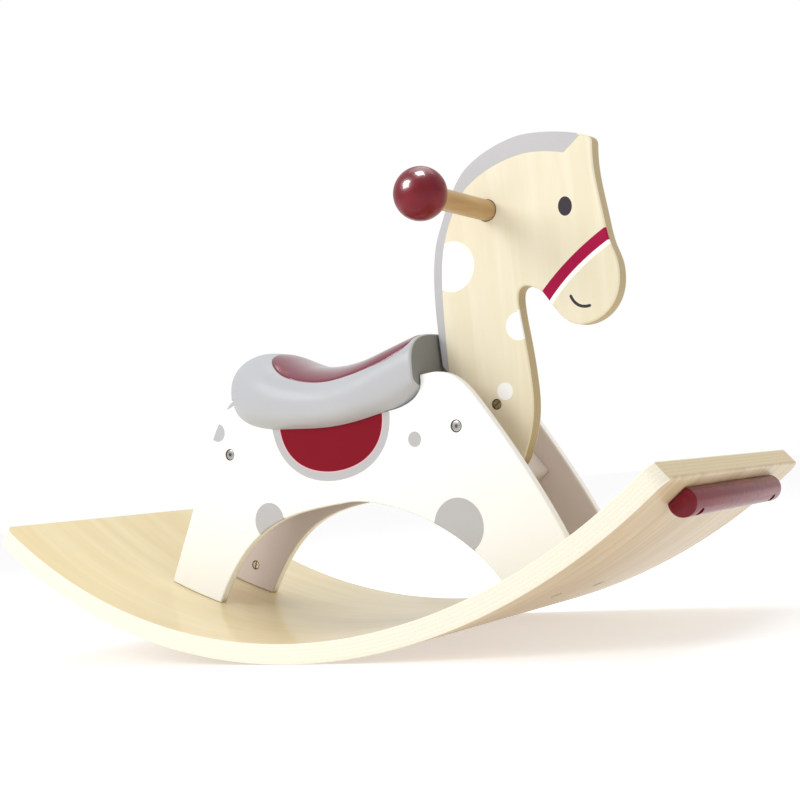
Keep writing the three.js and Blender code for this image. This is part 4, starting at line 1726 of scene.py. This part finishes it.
@dataclass
class Saddle:
    """The moulded saddle and the glossy inlay in its seat."""

    front: float = 85.5
    rear: float = -140.0
    round_from: float = -60.0
    rear_power: float = 2.6
    under_power: float = 2.6
    rim: float = 2.5
    wall: float = 9.0
    proud: float = 0.8
    sunk: float = 2.4
    inlay_round: float = 1.2
    mouth_rear: float = -92.0
    mouth_front: float = 56.0
    mouth_top: float = 210.0
    crest: SmoothLine = SmoothLine(
        (-140, 281), (-104, 276), (-84, 268.5), (-62, 257.5), (-42, 250.5),
        (-15, 247.5), (20, 249.5), (55, 256.8), (70, 260.3), (86, 263.3),
    )
    under: SmoothLine = SmoothLine(
        (-140, 192), (-66, 189.5), (-10, 187), (40, 191.5), (62, 196.5), (75, 203), (86, 212),
    )
    waist: SmoothLine = SmoothLine((-140, 234), (-100, 228), (-60, 217), (0, 212), (86, 226))
    half_width: SmoothLine = SmoothLine((-140, 57), (-40, 58), (20, 58), (86, 53))
    power: SmoothLine = SmoothLine((-140, 2.3), (-60, 2.3), (0, 2.2), (86, 3.3))

    def closing(self, x: float, grow: float = 0.0) -> float:
        """How far the rounded back has closed at x: 1 is open and 0 is shut.

        Args:
            x: where along the saddle.
            grow: how far the form is moved outwards.

        Returns:
            The share that is open.
        """
        q = (self.round_from - x) / (self.round_from - self.rear + grow)
        q = min(max(q, 0.0), 1.0)
        return (1 - q**self.rear_power) ** (1 / self.rear_power)

    def ring(self, x: float, grow: float, count: int) -> list[tuple[float, float, float]]:
        """One section of the saddle as points round it.

        Args:
            x: where along the saddle.
            grow: how far the form is moved outwards.
            count: how many points it has.

        Returns:
            The points.
        """
        closing, waist = self.closing(x, grow), self.waist.at(x)
        wide = (self.half_width.at(x) + grow) * closing
        up = (self.crest.at(x) - waist + grow) * closing
        down = (waist - self.under.at(x) + grow) * closing
        points = []
        for i in range(count):
            turn = 2 * math.pi * i / count
            c, s = math.cos(turn), math.sin(turn)
            power = 2 / (self.power.at(x) if s >= 0 else self.under_power)
            y = wide * math.copysign(abs(c) ** power, c)
            reach = up if s >= 0 else down
            points.append((x, y, waist + reach * math.copysign(abs(s) ** power, s)))
        return points

    def top(self, x: float, y: float) -> float:
        """The height of the saddle's upper surface.

        Args:
            x: where along the saddle.
            y: where across it.

        Returns:
            The height.
        """
        closing, waist = self.closing(x), self.waist.at(x)
        share = min(abs(y) / (self.half_width.at(x) * closing), 0.999)
        n = self.power.at(x)
        return waist + (self.crest.at(x) - waist) * closing * (1 - share**n) ** (1 / n)

    def form(self, name: str, grow: float, front: float, fine: bool) -> bpy.types.Object:
        """The saddle's closed outer form, moved outwards by grow.

        Args:
            name: the piece's name.
            grow: how far it is moved outwards.
            front: where its flat front is.
            fine: whether it is a finished piece, and not a cutter.

        Returns:
            The form.
        """
        count, straight, rounded, lip = (128, 70, 44, 8) if fine else (64, 30, 20, 3)
        draft = MeshDraft()
        places = []
        for k in range(lip + 1):
            turn = math.pi / 2 * k / lip
            places.append((front - self.rim * (1 - math.cos(turn)), self.rim * (1 - math.sin(turn))))
        start = front - self.rim
        for i in range(1, straight + 1):
            places.append((start + (self.round_from - start) * i / straight, 0.0))
        back = self.round_from - self.rear + grow
        for i in range(1, rounded):
            places.append((self.round_from - back * math.sin(math.pi / 2 * i / rounded), 0.0))
        rings = []
        for x, inset in places:
            rings.append([draft.point(*p) for p in self.ring(x, grow - inset, count)])
        draft.skin(rings, lambda k, i: 0, turned=True)
        draft.face(rings[0], 0, False)
        last_x = self.round_from - back
        pole = draft.point(last_x, 0, self.waist.at(last_x))
        for i in range(count):
            draft.face((pole, rings[-1][(i + 1) % count], rings[-1][i]))
        return draft.finish(name, [])

    def inlay_plan(self) -> list[Vector]:
        """The inlay's outline seen from above, as (x, y).

        Returns:
            The loop.
        """
        line = Outline(-87, 0)
        line.curve(-87, -26, -80, -43, -52, -46.5, steps=24)
        line.curve(-20, -49, 20, -51.5, 50, -51.5, steps=24)
        line.curve(66, -51.5, 77, -49, 80.5, -44, steps=10)
        half = line.points[:]
        for i in range(1, 13):
            half.append(Vector((80.5, -44 + 44 * i / 12)))
        mirrored = [Vector((p.x, -p.y)) for p in reversed(half[1:-1])]
        return [*half, *mirrored]

    def lens(
        self, name: str, plan: Sequence[Vector], top: float, bottom: float, soft: float
    ) -> bpy.types.Object:
        """A skin that follows the seat between two heights over it.

        Args:
            name: the piece's name.
            plan: its outline seen from above.
            top: how far its upper face stands over the saddle.
            bottom: how far its lower face stands over the saddle, negative if under.
            soft: the radius of its rounded upper edge.

        Returns:
            The skin as a closed piece.
        """
        draft = MeshDraft()
        count, across = len(plan), 26
        shares = [1 - (k / across) ** 1.6 for k in range(across)]
        upper_rings, lower_rings = [], []
        edge_steps = 5 if soft > 0 else 0
        inner = moved_out(plan, -soft) if soft > 0 else list(plan)
        for share in reversed(shares):
            line = [p * share for p in inner]
            upper_rings.append([draft.point(p.x, p.y, self.top(p.x, p.y) + top) for p in line])
            lower_rings.append([draft.point(p.x, p.y, self.top(p.x, p.y) + bottom) for p in line])
        for k in range(1, edge_steps + 1):
            turn = math.pi / 2 * k / edge_steps
            line = moved_out(plan, -soft * (1 - math.sin(turn)))
            drop = soft * (1 - math.cos(turn))
            upper_rings.append([draft.point(p.x, p.y, self.top(p.x, p.y) + top - drop) for p in line])
        if soft > 0:
            lower_rings.append([draft.point(p.x, p.y, self.top(p.x, p.y) + bottom) for p in plan])
        draft.skin(upper_rings, lambda k, i: 0, turned=True)
        draft.skin(lower_rings, lambda k, i: 0)
        draft.skin([upper_rings[-1], lower_rings[-1]], lambda k, i: 0, turned=True)
        for rings, height, turned in ((upper_rings, top, False), (lower_rings, bottom, True)):
            pole = draft.point(0.0, 0.0, self.top(0.0, 0.0) + height)
            for i in range(count):
                corners = (pole, rings[0][i], rings[0][(i + 1) % count])
                draft.face(corners[::-1] if turned else corners)
        return draft.finish(name, [])

    def build(
        self, panels: LegPanels, material: bpy.types.Material, end_material: bpy.types.Material
    ) -> bpy.types.Object:
        """Makes the saddle with its seat recess, panel slots and hollow.

        Args:
            panels: the side panels, whose upper edges the saddle is slotted for.
            material: the finish of the moulding.
            end_material: a darker grey for its flat front end, painted shade where it faces the neck.

        Returns:
            The saddle.
        """
        saddle = self.form("moulded_saddle", 0.0, self.front, True)
        well_above = 25.0
        recess_plan = moved_out(self.inlay_plan(), GAP)
        recess = self.lens("cutter", recess_plan, well_above, -self.sunk - GAP, 0.0)
        slots = []
        for side in (-1, 1):
            near, far = panels.gap / 2 - GAP, panels.gap / 2 + panels.thickness + GAP
            slots.append(
                Plate(
                    "cutter", moved_out(panels.outline(), GAP), min(side * near, side * far),
                    max(side * near, side * far), 0.01, [], 0, 0, round_steps=1,
                ).build()
            )
        hollow = self.form("cutter", -self.wall, self.front - self.wall, False)
        room = panels.gap + panels.thickness
        for away in (-1, 1):
            beside = (0, away * (room / 2 + 100), 200)
            side_block = block((400, 200, 400), beside)
            carve(hollow, [side_block])
        mouth_tall = 40.0
        mouth_size = (self.mouth_front - self.mouth_rear, room, mouth_tall)
        mouth_x = (self.mouth_front + self.mouth_rear) / 2
        mouth = block(mouth_size, (mouth_x, 0, self.mouth_top - mouth_tall / 2))
        carve(saddle, [recess, *slots, hollow, mouth])
        saddle.data.materials.clear()
        for finish in (material, end_material):
            saddle.data.materials.append(finish)
        # The flat front end takes the darker grey: painted shade where it faces the neck.
        for face in saddle.data.polygons:
            at_front = face.center.x > (self.front - GAP) * MM and face.normal.x > 0.9
            face.material_index = int(at_front)
        crease(saddle, 40.0)
        return saddle

    def build_inlay(self, material: bpy.types.Material) -> bpy.types.Object:
        """Makes the glossy inlay with its softened edge.

        Args:
            material: its finish.

        Returns:
            The inlay.
        """
        inlay = self.lens("seat_pad_inlay", self.inlay_plan(), self.proud, -self.sunk, self.inlay_round)
        inlay.data.materials.append(material)
        crease(inlay, 50.0)
        return inlay


# ------------------------------------------------------------------ fasteners


class FastenerTree:
    """A Geometry Nodes tree that sets one pattern piece down at many places."""

    def __init__(self) -> None:
        """Builds the tree once: points in, placed and realized copies out."""
        tree = bpy.data.node_groups.new("set_down_fasteners", "GeometryNodeTree")
        face = tree.interface
        face.new_socket("Geometry", in_out="INPUT", socket_type="NodeSocketGeometry")
        self.pattern = face.new_socket("Pattern", in_out="INPUT", socket_type="NodeSocketObject")
        self.size = face.new_socket("Size", in_out="INPUT", socket_type="NodeSocketFloat")
        self.finish = face.new_socket("Finish", in_out="INPUT", socket_type="NodeSocketMaterial")
        face.new_socket("Geometry", in_out="OUTPUT", socket_type="NodeSocketGeometry")
        nodes = tree.nodes
        start = nodes.new("NodeGroupInput")
        end = nodes.new("NodeGroupOutput")
        info = nodes.new("GeometryNodeObjectInfo")
        turn = nodes.new("GeometryNodeInputNamedAttribute")
        turn.data_type = "FLOAT_VECTOR"
        turn.inputs["Name"].default_value = "turn"
        place = nodes.new("GeometryNodeInstanceOnPoints")
        real = nodes.new("GeometryNodeRealizeInstances")
        dress = nodes.new("GeometryNodeSetMaterial")
        links = tree.links
        links.new(start.outputs["Geometry"], place.inputs["Points"])
        links.new(start.outputs["Pattern"], info.inputs["Object"])
        links.new(info.outputs["Geometry"], place.inputs["Instance"])
        links.new(turn.outputs["Attribute"], place.inputs["Rotation"])
        links.new(start.outputs["Size"], place.inputs["Scale"])
        links.new(place.outputs["Instances"], real.inputs["Geometry"])
        links.new(real.outputs["Geometry"], dress.inputs["Geometry"])
        links.new(start.outputs["Finish"], dress.inputs["Material"])
        links.new(dress.outputs["Geometry"], end.inputs["Geometry"])
        self.tree = tree

    def set_down(
        self, name: str, pattern: bpy.types.Object, places: Sequence[Matrix],
        finish: bpy.types.Material,
    ) -> bpy.types.Object:
        """Makes one piece of several copies of a pattern.

        Args:
            name: the new piece's name.
            pattern: the piece that is copied, which is removed afterwards.
            places: where each copy goes, with shifts in millimetres.
            finish: the copies' material.

        Returns:
            The piece, as a plain mesh.
        """
        mesh = bpy.data.meshes.new(name)
        mesh.from_pydata([p.translation * MM for p in places], [], [])
        turns = mesh.attributes.new("turn", "FLOAT_VECTOR", "POINT")
        for i, place in enumerate(places):
            turns.data[i].vector = place.to_euler()
        piece = bpy.data.objects.new(name, mesh)
        bpy.context.scene.collection.objects.link(piece)
        modifier = piece.modifiers.new("fasteners", "NODES")
        modifier.node_group = self.tree
        modifier[self.pattern.identifier] = pattern
        modifier[self.size.identifier] = 1.0
        modifier[self.finish.identifier] = finish
        freeze(piece)
        crease(piece)
        shape = pattern.data
        bpy.data.objects.remove(pattern)
        bpy.data.meshes.remove(shape)
        return piece


@dataclass
class Hardware:
    """Every bolt, barrel nut and screw."""

    rocker: Rocker
    panels: LegPanels
    front: Brace
    rear: Brace
    head: Head
    bolt: float = 5.0
    bolt_head: float = 9.5
    head_length: float = 3.2
    hex_key: float = 3.0
    nut: float = 8.0
    nut_slot: float = 1.2
    past_nut: float = 2.0
    leg_nut_length: float = 7.0
    neck_nut_length: float = 11.5
    hex_depth: float = 2.2
    slot_depth: float = 1.2
    bolt_pitch: float = 0.8
    thread_depth: float = 0.28
    threaded: float = 12.0
    screw_radius: float = 2.0
    screw_core: float = 1.35
    screw_length: float = 22.0
    screw_pitch: float = 1.4
    screw_thread_from: float = 6.0
    screw_threads: int = 9
    screw_cross: float = 4.4
    screw_cross_width: float = 1.0
    leg_recess: float = 1.5
    side_recess: float = 0.4
    brace_nut_in: float = 20.0

    def socket_bolt(self, reach: float, material: bpy.types.Material) -> bpy.types.Object:
        """A socket-head bolt along +Z with its head's face at zero.

        Args:
            reach: its length from the head's face to the tip.
            material: its finish.

        Returns:
            The pattern.
        """
        top, shank, head = self.bolt_head / 2, self.bolt / 2, self.head_length
        profile = [(0, 0), (top - 0.7, 0), (top - 0.2, 0.2), (top, 0.7), (top, head - 0.2)]
        profile += [(top - 0.2, head), (shank, head)]
        pitch, depth = self.bolt_pitch, self.thread_depth
        turns = int(min(reach - head - 1.5, self.threaded) / pitch)
        thread_from = reach - 0.8 - turns * pitch
        profile.append((shank, thread_from))
        for i in range(turns):
            at = thread_from + i * pitch
            profile += [(shank - depth, at + 0.35 * pitch), (shank - depth, at + 0.5 * pitch)]
            profile.append((shank, at + 0.9 * pitch))
        profile += [(shank - 0.7, reach), (0, reach)]
        bolt = lathe("pattern", profile, material, 36)
        across = self.hex_key / math.cos(math.pi / 6)
        return carve(bolt, [drum(across / 2, -1.0, self.hex_depth, 6)])

    def barrel_nut(self, length: float, hole_at: float, material: bpy.types.Material) -> bpy.types.Object:
        """A barrel nut along +Z from its slotted end, with its cross hole along X.

        Args:
            length: its length.
            hole_at: the height of its cross hole.
            material: its finish.

        Returns:
            The pattern.
        """
        radius, soft = self.nut / 2, 0.4
        profile = [
            (0, 0), (radius - soft, 0), (radius, soft), (radius, length - soft),
            (radius - soft, length), (0, length),
        ]
        nut = lathe("pattern", profile, material, 40)
        hole = drum(self.bolt / 2 + GAP, -self.nut, self.nut, 28)
        turned = Matrix.Translation((0, 0, hole_at)) @ Matrix.Rotation(math.pi / 2, 4, "Y")
        set_down(hole, turned)
        slot = block((2 * self.nut, self.nut_slot, 2 * self.slot_depth), (0, 0, 0))
        return carve(nut, [hole, slot])

    def wood_screw(self, material: bpy.types.Material) -> bpy.types.Object:
        """A countersunk screw along +Z with a cross recess.

        Args:
            material: its finish.

        Returns:
            The pattern.
        """
        head, shank, core = self.rocker.screw_head / 2, self.screw_radius, self.screw_core
        profile = [(0, 0), (head - 0.2, 0), (head, 0.25), (shank, 2.6), (shank, self.screw_thread_from)]
        pitch = self.screw_pitch
        for i in range(self.screw_threads):
            at = self.screw_thread_from + i * pitch
            profile += [(core, at + 0.4 * pitch), (core, at + 0.6 * pitch), (shank, at + pitch)]
        profile.append((0, self.screw_length))
        screw = lathe("pattern", profile, material, 32)
        long, short, deep = self.screw_cross, self.screw_cross_width, 2.4
        arms = [block(size, (0, 0, 0.2)) for size in ((long, short, deep), (short, long, deep))]
        return carve(screw, arms)

    @staticmethod
    def facing(place: Sequence[float], ahead: Vector, across: Vector) -> Matrix:
        """A place whose local Z looks ahead and whose local X looks across.

        Args:
            place: where it is.
            ahead: where its Z looks.
            across: where its X looks.

        Returns:
            The place.
        """
        third = ahead.cross(across)
        turn = Matrix((across, third, ahead)).transposed().to_4x4()
        return Matrix.Translation(place) @ turn

    def build(self, crew: Crew, steel: bpy.types.Material, yellow: bpy.types.Material) -> None:
        """Makes all the fasteners and hands them to the frame.

        Args:
            crew: what the pieces are handed to.
            steel: the bolts' finish.
            yellow: the nuts' finish.
        """
        tree = FastenerTree()
        ends, sides = (("front", 1), ("rear", -1)), (("left", 1), ("right", -1))
        rocker = self.rocker
        top = rocker.radius - rocker.thickness
        nut_radius = top - self.panels.nut_height
        head_radius = rocker.radius - self.leg_recess
        reach = head_radius - nut_radius + self.nut / 2 + self.past_nut
        inner = self.panels.gap / 2
        middle = inner + self.panels.thickness / 2

        def names(stem: str) -> list[str]:
            """The four node names of a fastener that every corner has."""
            return [f"{stem}_{end}_{side}" for end, _ in ends for side, _ in sides]

        bolts, nuts, screws = [], [], []
        for _, end in ends:
            angle = end * rocker.leg_bolt_angle
            up = Vector((-math.sin(angle), 0, math.cos(angle)))
            for _, side in sides:
                bolts.append(rocker.on_arc(angle, head_radius, side * middle))
                x = nut_radius * math.sin(angle)
                z = rocker.radius - nut_radius * math.cos(angle)
                outwards = Vector((0, side, 0))
                nuts.append(self.facing((x, side * (inner + GAP), z), outwards, up))
                head = rocker.bar_flat + rocker.bar_depth - rocker.screw_recess
                y = side * rocker.screw_spacing / 2
                screws.append(rocker.on_arc(end * rocker.bar_angle, head, y))
        piece = tree.set_down("leg_bolts", self.socket_bolt(reach, steel), bolts, steel)
        crew.enlist(piece, "zinc_steel", *names("leg_bolt"))
        hole_at = middle - inner - GAP
        pattern = self.barrel_nut(self.leg_nut_length, hole_at, yellow)
        piece = tree.set_down("leg_nuts", pattern, nuts, yellow)
        crew.enlist(piece, "yellow_zinc", *names("leg_nut"))
        piece = tree.set_down("bar_screws", self.wood_screw(steel), screws, steel)
        crew.enlist(piece, "zinc_steel", *names("stop_bar_screw"))

        face = inner + self.panels.thickness - self.side_recess
        nut_y = inner - self.brace_nut_in
        side_bolts, brace_nuts = [], []
        end_room = 1.0
        length = self.front.thickness - end_room
        for brace in (self.front, self.rear):
            spot = brace.bolt
            off = brace.at(0, 1) - brace.at(0, 0)
            outwards = Vector((off.x, 0, off.y))
            for _, side in sides:
                inwards = Vector((0, -side, 0))
                side_bolts.append(
                    self.facing((spot.x, side * face, spot.y), inwards, Vector((0, 0, 1)))
                )
                start = Vector((spot.x, side * nut_y, spot.y)) + outwards * (length / 2)
                brace_nuts.append(self.facing(start, -outwards, Vector((0, 1, 0))))
        reach = face - nut_y + self.nut / 2 + self.past_nut
        piece = tree.set_down("side_bolts", self.socket_bolt(reach, steel), side_bolts, steel)
        crew.enlist(piece, "zinc_steel", *names("side_bolt"))
        pattern = self.barrel_nut(length, length / 2, yellow)
        piece = tree.set_down("brace_nuts", pattern, brace_nuts, yellow)
        crew.enlist(piece, "yellow_zinc", *names("brace_nut"))

        neck_bolts, neck_nuts = [], []
        off = self.front.at(0, 1) - self.front.at(0, 0)
        forward = Vector((off.x, 0, off.y))
        half = self.head.thickness / 2
        for along, side in self.head.nuts_at:
            start = self.front.at(along, -self.front.thickness - self.head_length - GAP)
            neck_bolts.append(self.facing((start.x, 0, start.y), forward, Vector((0, 1, 0))))
            spot = self.front.at(along, self.head.nut_ahead)
            place = (spot.x, side * (half - GAP), spot.y)
            neck_nuts.append(self.facing(place, Vector((0, -side, 0)), forward))
        reach = self.head_length + self.front.thickness + self.head.nut_ahead
        reach += self.nut / 2 + self.past_nut
        piece = tree.set_down("neck_bolts", self.socket_bolt(reach, steel), neck_bolts, steel)
        crew.enlist(piece, "zinc_steel", "neck_bolt_lower", "neck_bolt_upper")
        pattern = self.barrel_nut(self.neck_nut_length, half - GAP, yellow)
        piece = tree.set_down("neck_nuts", pattern, neck_nuts, yellow)
        crew.enlist(piece, "yellow_zinc", "neck_nut_lower", "neck_nut_upper")


# ------------------------------------------------------------------ studio


@dataclass
class Studio:
    """Camera, lights and floor."""

    lens: float = 57.56
    heading: float = 33.41
    pitch: float = 3.99
    roll: float = 5.70
    camera_at: tuple[float, float, float] = (0.66614, -0.95494, 0.1307)

    def place_camera(self) -> None:
        """Sets the camera up where the horse is looked at from."""
        data = bpy.data.cameras.new("camera")
        data.lens = self.lens
        data.sensor_width = 36.0
        data.clip_start = 0.01
        data.clip_end = 200.0
        camera = bpy.data.objects.new("camera", data)
        turn = Matrix.Rotation(math.radians(self.heading), 4, "Z")
        turn @= Matrix.Rotation(math.radians(self.pitch), 4, "X")
        turn @= Matrix.Rotation(math.radians(self.roll), 4, "Y")
        turn @= Matrix.Rotation(math.radians(90), 4, "X")
        camera.matrix_world = Matrix.Translation(self.camera_at) @ turn
        bpy.context.scene.collection.objects.link(camera)
        bpy.context.scene.camera = camera

    def add_softbox(
        self, name: str, place: Sequence[float], size: float, power: float,
        only: Optional[bpy.types.Collection] = None,
    ) -> None:
        """Adds a square softbox that faces the horse.

        Args:
            name: the light's name.
            place: where it stands, in metres.
            size: its side in metres.
            power: its power in watts.
            only: the pieces that it lights, or none for all of them.
        """
        data = bpy.data.lights.new(name, "AREA")
        data.shape = "SQUARE"
        data.size = size
        data.energy = power
        light = bpy.data.objects.new(name, data)
        target = Vector((0.0, 0.0, 0.18))
        at = Vector(place)
        light.matrix_world = (
            Matrix.Translation(at) @ (target - at).to_track_quat("-Z", "Y").to_matrix().to_4x4()
        )
        if only is not None:
            light.light_linking.receiver_collection = only
            light.visible_diffuse = False
        bpy.context.scene.collection.objects.link(light)

    def light(self, knobs: Sequence[bpy.types.Object]) -> None:
        """Adds a soft white studio: an even surround, a key on the left and a top light.

        Args:
            knobs: the glossy pieces that get highlights of their own.
        """
        world = bpy.data.worlds.new("studio")
        world.use_nodes = True
        nodes, links = world.node_tree.nodes, world.node_tree.links
        nodes.clear()
        seen, lit = nodes.new("ShaderNodeBackground"), nodes.new("ShaderNodeBackground")
        seen.inputs["Strength"].default_value = 1.0
        lit.inputs["Strength"].default_value = 0.72
        for node in (seen, lit):
            node.inputs["Color"].default_value = (1.0, 1.0, 1.0, 1.0)
        path, mix = nodes.new("ShaderNodeLightPath"), nodes.new("ShaderNodeMixShader")
        out = nodes.new("ShaderNodeOutputWorld")
        links.new(path.outputs["Is Camera Ray"], mix.inputs[0])
        links.new(lit.outputs[0], mix.inputs[1])
        links.new(seen.outputs[0], mix.inputs[2])
        links.new(mix.outputs[0], out.inputs["Surface"])
        bpy.context.scene.world = world
        self.add_softbox("key", (-0.75, -1.35, 1.15), 0.8, 12.0)
        self.add_softbox("top", (0.1, 0.35, 1.7), 1.2, 10.0)
        shiny = bpy.data.collections.new("shiny_pieces")
        for piece in knobs:
            shiny.objects.link(piece)
        self.add_softbox("glint", (-0.55, -1.25, 1.25), 0.75, 90.0, shiny)
        self.add_softbox("upper_glint", (0.35, -0.25, 1.6), 0.5, 36.0, shiny)
        bpy.context.scene.view_settings.view_transform = "Standard"

    def lay_floor(self) -> None:
        """Lays a wide pale floor under the board."""
        draft = MeshDraft()
        reach, drop = 30000.0, -0.2
        signs = ((-1, -1), (1, -1), (1, 1), (-1, 1))
        draft.face([draft.point(a * reach, b * reach, drop) for a, b in signs], 0, False)
        s = Shader("pale_floor")
        cloud = s.noise(s.place((3.0, 3.0, 3.0)), 1.0, 3.0)
        s.set(
            Base_Color=s.mix(cloud, (0.72, 0.72, 0.72), (0.70, 0.70, 0.70)),
            Roughness=0.8,
            Specular_IOR_Level=0.1,
            Emission_Color=(1.0, 1.0, 1.0),
            Emission_Strength=0.44,
        )
        floor = draft.finish("studio_floor", [s.material])


# ------------------------------------------------------------------ the horse


def make_finishes(rocker: Rocker) -> dict[str, bpy.types.Material]:
    """Builds every material of the horse.

    Args:
        rocker: the board, whose thickness sets its plies.

    Returns:
        The materials by their plain names.
    """
    cream, honey = paint_colour(232, 216, 171), paint_colour(224, 203, 152)
    head_cream, head_warm = paint_colour(234, 225, 198), paint_colour(228, 217, 186)
    glue = paint_colour(150, 118, 76)
    finishes = (
        Birch(
            "board_veneer", cream, honey, Grain.ALONG_ARC, figure_scale=3.0, contrast=0.07,
            coat=0.6, coat_roughness=0.12,
        ),
        # Darker, greyer copy of the top veneer for the underside: painted shade.
        Birch(
            "board_under_shaded", paint_colour(212, 191, 156), paint_colour(195, 170, 130), Grain.ALONG_ARC,
        ),
        # Near-white ply edge for the long sides: a lit copy of the edge, painted light.
        PlyEdge(
            "board_edge_lit", paint_colour(246, 241, 223), paint_colour(243, 236, 214), glue,
            Across.BENT, rocker.radius - rocker.thickness, rocker.thickness / 11, rocker.radius, 0.06,
        ),
        # Darker copy of the same ply edge for the board's ends: painted shade.
        PlyEdge(
            "board_end_shaded", paint_colour(219, 203, 166), paint_colour(213, 196, 156), glue,
            Across.BENT, rocker.radius - rocker.thickness, rocker.thickness / 11, rocker.radius, 0.10,
        ),
        Birch("head_veneer", head_cream, head_warm, Grain.ALONG_Z, contrast=0.07),
        # Head rim: the ply edge's own tan, darkened further for the shade on the rim: partly painted shade.
        PlyEdge(
            "head_edge_and_shade", paint_colour(192, 174, 132), paint_colour(176, 156, 112), glue,
            Across.FLAT, -7.5, 1.5, 0.0, 0.3,
        ),
        # Walls and floors of the holes: dark brown ply with glue lines, darkened as painted shade inside
        # the holes.
        PlyEdge(
            "bore_wood_painted_shade", paint_colour(96, 80, 60), paint_colour(82, 66, 48), paint_colour(60, 46, 32),
            Across.FLAT, -7.5, 1.5, 0.0, 0.3,
        ),
        Birch("dowel", paint_colour(194, 160, 108), paint_colour(170, 132, 80), Grain.ALONG_Y),
        Paint("white_paint", paint_colour(249, 249, 246), 0.42, mottle=0.012),
        # Greyer white for the panels' inner faces: painted shade between the panels.
        Paint("inner_painted_shade", paint_colour(218, 207, 204), 0.5, mottle=0.02),
        # Greyer white for the braces between the panels: painted shade.
        Paint("brace_painted_shade", paint_colour(234, 227, 227), 0.5, mottle=0.02),
        Paint("grey_paint", paint_colour(186, 185, 186), 0.42, mottle=0.02),
        Paint("blanket_red", paint_colour(130, 8, 30), 0.45, mottle=0.06, coat=0.0, shine=0.12),
        Paint("blanket_line", paint_colour(226, 180, 188), 0.42, mottle=0.02),
        Paint("bridle_red", paint_colour(168, 10, 66), 0.45, mottle=0.05, coat=0.0, shine=0.12),
        Paint("eye_ink", paint_colour(58, 50, 60), 0.45, mottle=0.08, coat=0.0, shine=0.2),
        Lacquer("crimson", paint_colour(120, 6, 28), paint_colour(84, 3, 18)),
        Moulding("saddle_grey", paint_colour(186, 187, 190), 0.38, 0.08, shine=0.35),
        # Darker grey for the saddle's flat front end: painted shade.
        Moulding("saddle_end_shaded", paint_colour(134, 134, 130), 0.55, 0.0, shine=0.2),
        Moulding("inlay_red", paint_colour(118, 20, 50), 0.14, 0.8, 0.00001),
        Plated("steel", (0.50, 0.49, 0.48), (0.30, 0.29, 0.28)),
        Plated("yellow_zinc", (0.52, 0.44, 0.32), (0.30, 0.24, 0.16)),
    )
    made = {finish.name: finish.make() for finish in finishes}
    log.info("%d finishes made", len(made))
    return made


def main() -> None:
    """Builds the horse, its fasteners and the studio."""
    logging.basicConfig(level=logging.INFO, format="%(name)s: %(message)s")
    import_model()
    studio = Studio()
    studio.place_camera()

    rocker = Rocker()
    panels = LegPanels(rocker)
    front = Brace(
        "front_brace_plate", foot=(160.0, 134.0), lean=36.0, length=99.0, bolt_at=61.0, face=-1,
    )
    rear = Brace(
        "rear_brace_plate", foot=(-153.6, 154.1), lean=-27.0, length=46.0, bolt_at=32.0, face=1,
    )
    head = Head(front)
    saddle = Saddle()
    finishes = make_finishes(rocker)
    crew = Crew()

    board = rocker.build_board(finishes)
    crew.enlist(board, "birch_plywood", "rocker_board")
    for name, end in (("front", 1), ("rear", -1)):
        bar = rocker.build_bar(f"{name}_stop_rail", end, finishes["crimson"])
        crew.enlist(bar, "crimson_lacquer", f"stop_bar_{name}")

    # The inner and bore colours below are painted shade: between the panels and inside the holes.
    panel_finishes = {
        "white": finishes["white_paint"], "grey": finishes["grey_paint"],
        "red": finishes["blanket_red"], "pink": finishes["blanket_line"],
        "bore": finishes["bore_wood_painted_shade"], "inner": finishes["inner_painted_shade"],
    }
    side_bolts = [tuple(front.bolt), tuple(rear.bolt)]
    for name, side in (("left", 1), ("right", -1)):
        panel = panels.build(f"leg_panel_{name}", side, panel_finishes, side_bolts)
        crew.enlist(panel, "white_paint", f"side_panel_{name}")
    # The braces take the greyer brace colour: painted shade between the panels.
    for brace, node in ((front, "front_brace"), (rear, "rear_brace")):
        crew.enlist(brace.build(finishes["brace_painted_shade"]), "white_paint", node)

    head_finishes = {
        "veneer": finishes["head_veneer"], "grey": finishes["grey_paint"],
        "white": finishes["white_paint"], "ink": finishes["eye_ink"],
        "bridle": finishes["bridle_red"], "edge": finishes["head_edge_and_shade"],
        "bare": finishes["bore_wood_painted_shade"],
    }
    crew.enlist(head.build(head_finishes), "painted_birch", "head_board")
    crew.enlist(head.build_bar(finishes["dowel"]), "beech_dowel", "grip_bar")
    knobs = []
    for name, side in (("left", 1), ("right", -1)):
        ball = head.build_ball(f"grip_knob_{name}", side, finishes["crimson"])
        crew.enlist(ball, "crimson_lacquer", f"grip_ball_{name}")
        knobs.append(ball)

    seat = saddle.build(panels, finishes["saddle_grey"], finishes["saddle_end_shaded"])
    crew.enlist(seat, "grey_plastic", "saddle")
    crew.enlist(saddle.build_inlay(finishes["inlay_red"]), "red_plastic", "seat_inlay")
    hardware = Hardware(rocker, panels, front, rear, head)
    hardware.build(crew, finishes["steel"], finishes["yellow_zinc"])
    log.info("%d pieces in place", crew.count)

    studio.light(knobs)
    studio.lay_floor()


if __name__ == "__main__":
    main()
